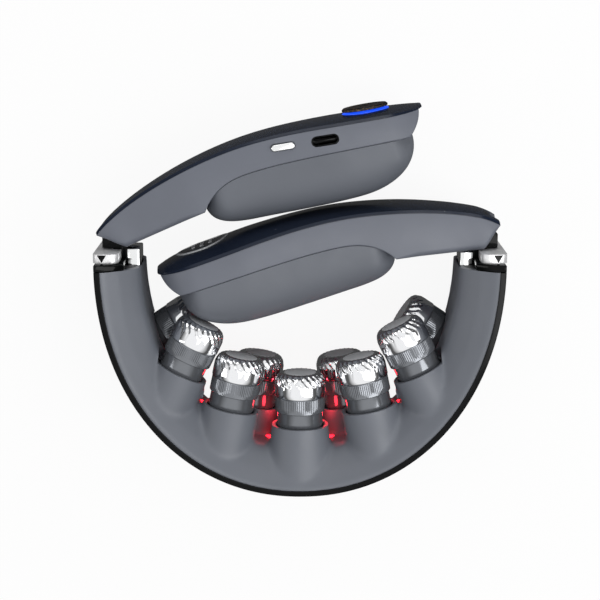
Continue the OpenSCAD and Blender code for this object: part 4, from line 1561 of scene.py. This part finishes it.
@dataclass
class Arm:
    """One folding arm: casing, cover, pad and what lies inside."""

    shape: ArmShape
    slot_half_z: float = 6.8
    knuckle_r: float = 4.7
    pin_r: float = 1.65
    pin_half: float = 10.5
    pad_inset: float = 0.25
    pad_round: float = 8.5
    pad_tip: float = 6.2
    pad_blunt: float = 0.94
    pad_across: float = 0.66
    pad_down: float = 0.62
    pad_gap: float = 0.1
    bevel: float = 0.5
    cover_gap: float = 0.02
    cover_lip: float = 0.14
    case_tip: float = 1.6
    case_round: float = 2.2
    seam_round: float = 0.5
    round_out: float = 7

    def stations(self, end: float) -> list[float]:
        """Gives places along the arm, closer at the root and the tip.

        Args:
            end: The last place along the shared outlines.

        Returns:
            The places along the arm as built.
        """
        near_tip = self.shape.fall_s
        root = spread(-self.shape.root_len + 0.02, 4, 14)
        middle = spread(6, near_tip - 1, 44)
        last = [end - (end - near_tip) * (1 - math.sin(a)) for a in spread(0.05, math.pi / 2, 20)]
        return [self.shape.drawn(s) for s in root + middle + last]

    def casing(self) -> Build:
        """Builds the casing as sections with rounded lower corners.

        Returns:
            The casing in the arm's frame.
        """
        shape = self.shape
        rings = []
        corner = [
            (shape.pad_start - self.round_out, self.case_round),
            (shape.pad_start, self.seam_round),
        ]
        for s in self.stations(shape.length - self.case_tip):
            w, high, low = shape.wide(s), shape.rim(s), shape.low(s)
            h = max(high - low, 0.06)
            r, t = min(lookup(shape.plain(s), corner), 0.45 * h), min(0.25, 0.2 * h)
            outline = (
                arc(-w + t, high - t, t, 90, 180, 2)
                + arc(-w + r, high - h + r, r, 180, 270, 6)
                + [(0, high - h)]
                + arc(w - r, high - h + r, r, 270, 360, 6)
                + arc(w - t, high - t, t, 0, 90, 2)
                + [(0, high)]
            )
            rings.append([Vector((s, y, z)) for z, y in outline])
        return sweep(rings)

    def slot(self) -> list[Build]:
        """Builds the cutters for the slider's knuckle, its plate and the pin.

        Returns:
            The cutters in the arm's frame, the pin's last.
        """
        s, z = self.shape, self.slot_half_z
        return [
            rod(self.knuckle_r, -z, z, 64),
            box((-2 * s.root_len, -s.root_drop - 1, -z), (0.3, self.knuckle_r - 0.2, z)),
            box((-1, -s.root_drop - 1, -z), (3.4, 0.8, z)),
            rod(self.pin_r, -self.pin_half, self.pin_half),
        ]

    def cover(self) -> Build:
        """Builds the cover: a crowned form with a bevelled upper edge.

        Returns:
            The cover in the arm's frame.
        """
        shape = self.shape
        shares = [math.sin(a) for a in spread(-math.pi / 2, math.pi / 2, 26)]
        rings = []
        for s in self.stations(shape.length):
            w, low, lip = shape.wide(s), shape.rim(s) + self.cover_gap, shape.rim(s) + self.cover_lip
            edge = min(self.bevel, 0.2 * w)
            outline = [(-w, low), (-w, lip)]
            outline += [(c * (w - edge), shape.top(s, c * (w - edge))) for c in shares]
            outline += [(w, lip), (w, low), (0, low)]
            rings.append([Vector((s, y, z)) for z, y in outline])
        return sweep(rings)

    def pad_wide(self, s: float) -> float:
        """Gives half the pad's width, drawn in towards both ends.

        Args:
            s: Place along the shared outlines.

        Returns:
            Half the width there.
        """
        shape, r = self.shape, self.pad_round
        end = shape.length - self.pad_tip
        start_part = min(self.pad_blunt, max(0.0, (shape.pad_start + r - 0.5 - s) / r))
        end_part = min(self.pad_blunt, max(0.0, (s - end + r - 0.5) / r))
        taper = math.sqrt(1 - start_part**2) * math.sqrt(1 - end_part**2)
        return (shape.plain_w(s) - self.pad_inset) * taper

    def padding(self) -> Build:
        """Builds the pad: a crowned cushion, flat only where it lies on the casing.

        Returns:
            The pad in the arm's frame.
        """
        shape = self.shape
        n, start, drop, waist = shape.length, shape.pad_start, -shape.pad_drop, shape.pad_waist
        line = bezier((start, -5.5), (start + 0.2, -11), (37, -13.2), (46, waist), 16)
        line += bezier((46, waist), (58, waist - 2), (76, drop), (84, drop), 16)[1:]
        line += bezier((84, drop), (96, drop), (n - 6.4, -13.5), (n - self.pad_tip, -6.8), 22)[1:]
        rings = []
        for s, y in line:
            high = shape.seam(s * shape.stretch) - self.pad_gap
            ring = []
            for a in spread(0, math.pi, 36):
                c = math.cos(a)
                across = math.copysign(abs(c) ** self.pad_across, c) * self.pad_wide(s)
                down = (high - y) * max(0.0, math.sin(a)) ** self.pad_down
                ring.append(Vector((s * shape.stretch, high - down, across)))
            ring.append(Vector((s * shape.stretch, high, 0)))
            rings.append(ring)
        return sweep(rings)

    def make(self, holes: Iterable[Build] = ()) -> None:
        """Makes the arm's casing, cover and pad.

        Args:
            holes: More cutters for the casing, in the arm's frame.
        """
        word, place = self.shape.side.word, self.shape.place
        on = f"{word}_arm"
        casing = cut(self.casing(), [*self.slot(), *holes])
        piece(f"casing_{word}", moved(casing, place), CASING, on, [f"arm_case_{word}"])
        cover = cut(self.cover(), self.slot()[:3])
        piece(f"cover_{word}", moved(cover, place), NAVY, on, [f"arm_cover_{word}"], 22)
        pad = piece(f"pad_{word}", moved(self.padding(), place), PADDING, on, [f"arm_pad_{word}"], 60)
        dressed([f"heater_{word}"], FOIL)


@dataclass
class Controls:
    """What the left arm carries: dial, blue ring, side button and charging port."""

    shape: ArmShape
    dial_s: float = 91.4
    dial_r: float = 7.8
    dial_low: float = 0.6
    dial_h: float = 1.2
    ribs: int = 72
    rib_depth: float = 0.16
    glow_r: float = 8.0
    glow_high: float = 0.12
    glow_low: float = -1.9
    stem_r: float = 1.5
    tilt: float = -11.5
    port_s: float = 75.7
    port_y: float = 3.3
    port_w: float = 8.94
    port_h: float = 3.26
    port_len: float = 7.3
    port_wall: float = 0.35
    hole_gap: float = 0.3
    button_s: float = 62.0
    button_y: float = 6.2
    button_w: float = 8.0
    button_h: float = 2.4
    button_proud: float = 1.2
    button_deep: float = 3.2
    button_pocket: float = 4.6
    button_round: float = 0.55

    def at(self, s: float, y: float, z: float) -> Matrix:
        """Frame on the casing's side in the arm's frame, with Z out of the side."""
        return Matrix.Translation((s, y, z)) @ Matrix.Rotation(math.radians(self.tilt), 4, "Z")

    @property
    def at_port(self) -> Matrix:
        """Frame of the charging port."""
        return self.at(self.port_s, self.port_y, self.shape.wide(self.port_s))

    @property
    def at_button(self) -> Matrix:
        """Frame of the side button."""
        return self.at(self.button_s, self.button_y, self.shape.wide(self.button_s))

    @property
    def at_dial(self) -> Matrix:
        """Gives the dial's place.

        Returns:
            Frame on the cover under the dial, with Z out along its stem.
        """
        rise = self.shape.rim(self.dial_s + 6) - self.shape.rim(self.dial_s - 6)
        return (
            self.shape.place
            @ Matrix.Translation((self.dial_s, self.shape.top(self.dial_s, 0), 0))
            @ Matrix.Rotation(math.atan2(rise, 12), 4, "Z")
            @ Matrix.Rotation(math.radians(-90), 4, "X")
        )

    def holes(self) -> list[Build]:
        """Builds the cutters for the port and the button in the casing's side.

        Returns:
            The cutters in the arm's frame.
        """
        g, out = self.hole_gap, 6
        port = pill(self.port_w + g, self.port_h + g, -self.port_len - g, out)
        button = pill(self.button_w + g, self.button_h + g, -self.button_pocket, out)
        return [moved(port, self.at_port), moved(button, self.at_button)]

    def dial(self) -> Build:
        """Builds the dial's ribbed disc.

        Returns:
            The dial, with Z out along its stem.
        """
        low, r, high = self.dial_low, self.dial_r, self.dial_low + self.dial_h
        bore = self.stem_r + 0.05
        profile = [
            (bore, low),
            (r - 0.3, low),
            (r, low + 0.2),
            (r, high - 0.45),
            (r - 0.12, high - 0.35),
            (r - 0.5, high),
            (r - 0.9, high),
            (r - 1.2, high - 0.1),
            (bore + 0.6, high - 0.1),
            (bore, high - 0.16),
            (bore, low),
        ]
        return ribbed(turned_form(profile, 4 * self.ribs), r - 0.05, self.rib_depth, self.ribs)

    def ring(self) -> Build:
        """Builds the blue ring under the dial.

        Returns:
            The ring, with Z out along the dial's stem.
        """
        r, low, high, bore = self.glow_r, self.glow_low, self.glow_high, self.stem_r + 0.15
        profile = [
            (bore, low),
            (r, low),
            (r, high - 0.1),
            (r - 0.15, high),
            (bore, high),
            (bore, low),
        ]
        return turned_form(profile, 96)

    def port(self) -> Build:
        """Builds the charging port's shell and its contact tongue.

        Returns:
            Both as one build, with Z out of the casing's side.
        """
        w, h, deep, walls = self.port_w, self.port_h, self.port_len, 2 * self.port_wall
        shell = cut(pill(w, h, -deep, -0.3), [pill(w - walls, h - walls, -deep + 1, 2)])
        tongue = rounded(box((-3.35, -0.35, -deep + 1), (3.35, 0.35, -1)), 0.15)
        return joined([rounded(shell, 0.1), tongue])

    def button(self) -> Build:
        """Builds the side button with a rounded outer edge.

        Returns:
            The button, with Z out of the casing's side.
        """
        face = self.button_proud
        cap = pill(self.button_w, self.button_h, -self.button_deep, face)
        rim = [e for e in cap.edges if all(v.co.z > face - 1e-3 for v in e.verts)]
        return bevelled(cap, rim, self.button_round, 5, False)

    def make(self) -> None:
        """Makes the controls."""
        place, on = self.shape.place, "left_arm"
        piece("dial_ribbed", moved(self.dial(), self.at_dial), DIAL_METAL, "dial", ["dial"], 40)
        piece("light_ring_lit", moved(self.ring(), self.at_dial), BLUE_LAMP, on, ["light_ring"])
        piece("port_shell", moved(self.port(), place @ self.at_port), BLACK, on, ["charging_port"])
        cap = moved(self.button(), place @ self.at_button)
        piece("button_cap", cap, CHROME, "side_button", ["side_button"], 50)
        dressed(["dial_stem"], STEEL)
        dressed(["turn_switch"], PLASTIC)
        dressed(["main_board"], BOARD)


# Studio


@dataclass
class Studio:
    """Camera, floor, lamps and world of the photograph."""

    u: Horseshoe
    distance: float = 583.0
    tilt: float = 11.0
    focal_px: float = 1700.0
    frame_px: float = 600.0
    key: float = 3.1
    top: float = 1.6
    side: float = 0.9
    floor_tone: float = 0.95
    floor_white: float = 0.92
    floor_gloss: float = 0.07
    floor_half: float = 3
    floor_drop: float = 0.0002
    world_light: float = 0.5
    horizon_low: float = 0.35
    horizon_high: float = 0.75
    horizon_dark: float = 0.1
    red: float = 0.0013
    red_out: float = 9.0
    red_colour: tuple[float, ...] = (1.0, 0.03, 0.05)

    def camera(self) -> None:
        """Places the camera over the massager, leaning towards its opening."""
        data = bpy.data.cameras.new("camera")
        data.sensor_fit = "HORIZONTAL"
        data.angle = 2 * math.atan(self.frame_px / 2 / self.focal_px)
        data.clip_start = 0.01
        thing = linked("camera", data)
        t = math.radians(self.tilt)
        back = Vector((0, math.sin(t), math.cos(t)))
        place = (back * self.distance + self.u.shift) * MM
        up = Vector((0, math.cos(t), -math.sin(t)))
        thing.matrix_world = Matrix(
            (
                (1, up.x, back.x, place.x),
                (0, up.y, back.y, place.y),
                (0, up.z, back.z, place.z),
                (0, 0, 0, 1),
            )
        )
        bpy.context.scene.camera = thing

    def lamp(self, name: str, place: Sequence[float], size: Sequence[float], power: float) -> None:
        """Adds a soft rectangular lamp aimed at the massager.

        Args:
            name: The lamp's name.
            place: Where it hangs, in metres.
            size: Its width and height in metres.
            power: Its power in watts.
        """
        data = bpy.data.lights.new(name, "AREA")
        data.shape = "RECTANGLE"
        data.size, data.size_y = size
        data.energy = power
        thing = linked(name, data)
        thing.location = place
        thing.rotation_euler = (-Vector(place)).to_track_quat("-Z", "Y").to_euler()

    def floor(self) -> None:
        """Lays a wide white floor that keeps the shadow, and that polished faces see dark."""
        bm = bmesh.new()
        bmesh.ops.create_grid(bm, x_segments=1, y_segments=1, size=self.floor_half)
        bmesh.ops.translate(bm, vec=(0, 0, -self.floor_drop), verts=bm.verts)
        mesh = as_mesh("floor", bm)
        thing = linked("floor", mesh)
        made = bpy.data.materials.new("studio floor")
        made.use_nodes = True
        graph = Graph(made.node_tree)
        plain = graph.add("ShaderNodeBsdfDiffuse", {"Color": (*(self.floor_tone,) * 3, 1.0)})
        white = graph.add("ShaderNodeEmission", {"Color": WHITE, "Strength": 1.0})
        dim = graph.add("ShaderNodeEmission", {"Color": WHITE, "Strength": self.floor_gloss})
        path = graph.add("ShaderNodeLightPath").outputs
        seen = graph.maths("MULTIPLY", path["Is Camera Ray"], self.floor_white)
        shown = graph.either(seen, plain.outputs[0], white.outputs[0])
        whole = graph.either(path["Is Glossy Ray"], shown, dim.outputs[0])
        graph.add("ShaderNodeOutputMaterial", {"Surface": whole})
        mesh.materials.append(made)

    def glow(self, body: Body) -> None:
        """Adds the light that the four red lamps throw on the heads beside them.

        Args:
            body: The body that holds the lamps.
        """
        for x in body.lamp_x:
            data = bpy.data.lights.new("red_glow", "POINT")
            data.color = self.red_colour
            data.energy = self.red
            data.shadow_soft_size = body.lamp_r * MM
            thing = linked("red_glow", data)
            thing.location = body.at_lamp(x) @ Vector((0, 0, self.red_out)) * MM

    def world(self) -> None:
        """Sets a plain pale world, which polished metal sees with a dark horizon."""
        scene = bpy.context.scene
        scene.world = scene.world or bpy.data.worlds.new("studio")
        scene.world.use_nodes = True
        graph = Graph(scene.world.node_tree)
        height = graph.add(
            "ShaderNodeSeparateXYZ", {0: graph.add("ShaderNodeTexCoord").outputs["Generated"]}
        ).outputs["Z"]
        low, high, dark = self.horizon_low, self.horizon_high, self.horizon_dark
        bands = graph.add("ShaderNodeMapRange", {0: height, 1: low, 2: high, 3: dark, 4: 1.0})
        path = graph.add("ShaderNodeLightPath").outputs
        plain, glossy, white = (
            graph.add("ShaderNodeBackground", {"Color": WHITE, "Strength": strength}).outputs[0]
            for strength in (self.world_light, bands.outputs[0], 1.0)
        )
        mixed = graph.either(path["Is Glossy Ray"], plain, glossy)
        shown = graph.either(path["Is Camera Ray"], mixed, white)
        graph.add("ShaderNodeOutputWorld", {"Surface": shown})

    def make(self) -> None:
        """Sets the studio up."""
        self.camera()
        self.floor()
        self.world()
        self.lamp("softbox_right", (0.42, -0.12, 0.77), (0.32, 0.9), self.key)
        self.lamp("softbox_top", (0.0, 0.85, 0.42), (0.8, 0.35), self.top)
        self.lamp("strip_left", (-0.85, -0.05, 0.24), (0.12, 0.8), self.side)
        self.lamp("strip_right", (0.9, 0.15, 0.3), (0.2, 0.8), self.side)
        bpy.context.scene.view_settings.view_transform = "Standard"


def main() -> None:
    """Builds the studio and the massager in order."""
    logging.basicConfig(level=logging.INFO, format="%(message)s")
    body = Body()
    studio = Studio(body.u)
    studio.make()
    studio.glow(body)
    body.make()
    Roller(body).make()
    Sliders().make()
    left = ArmShape(Side.LEFT, rest=20.9, crown=1.2, stretch=1.0, root=7.2 / 7.0, u=body.u)
    right = ArmShape(
        Side.RIGHT, rest=9.0, crown=3.4, stretch=110.8 / 109.5, root=5.8 / 7.0, u=body.u
    )
    controls = Controls(left)
    Arm(left).make(controls.holes())
    Arm(right).make()
    controls.make()
    dressed(["battery"], WRAP)
    dressed(["emblem"], PALE)


if __name__ == "__main__":
    main()
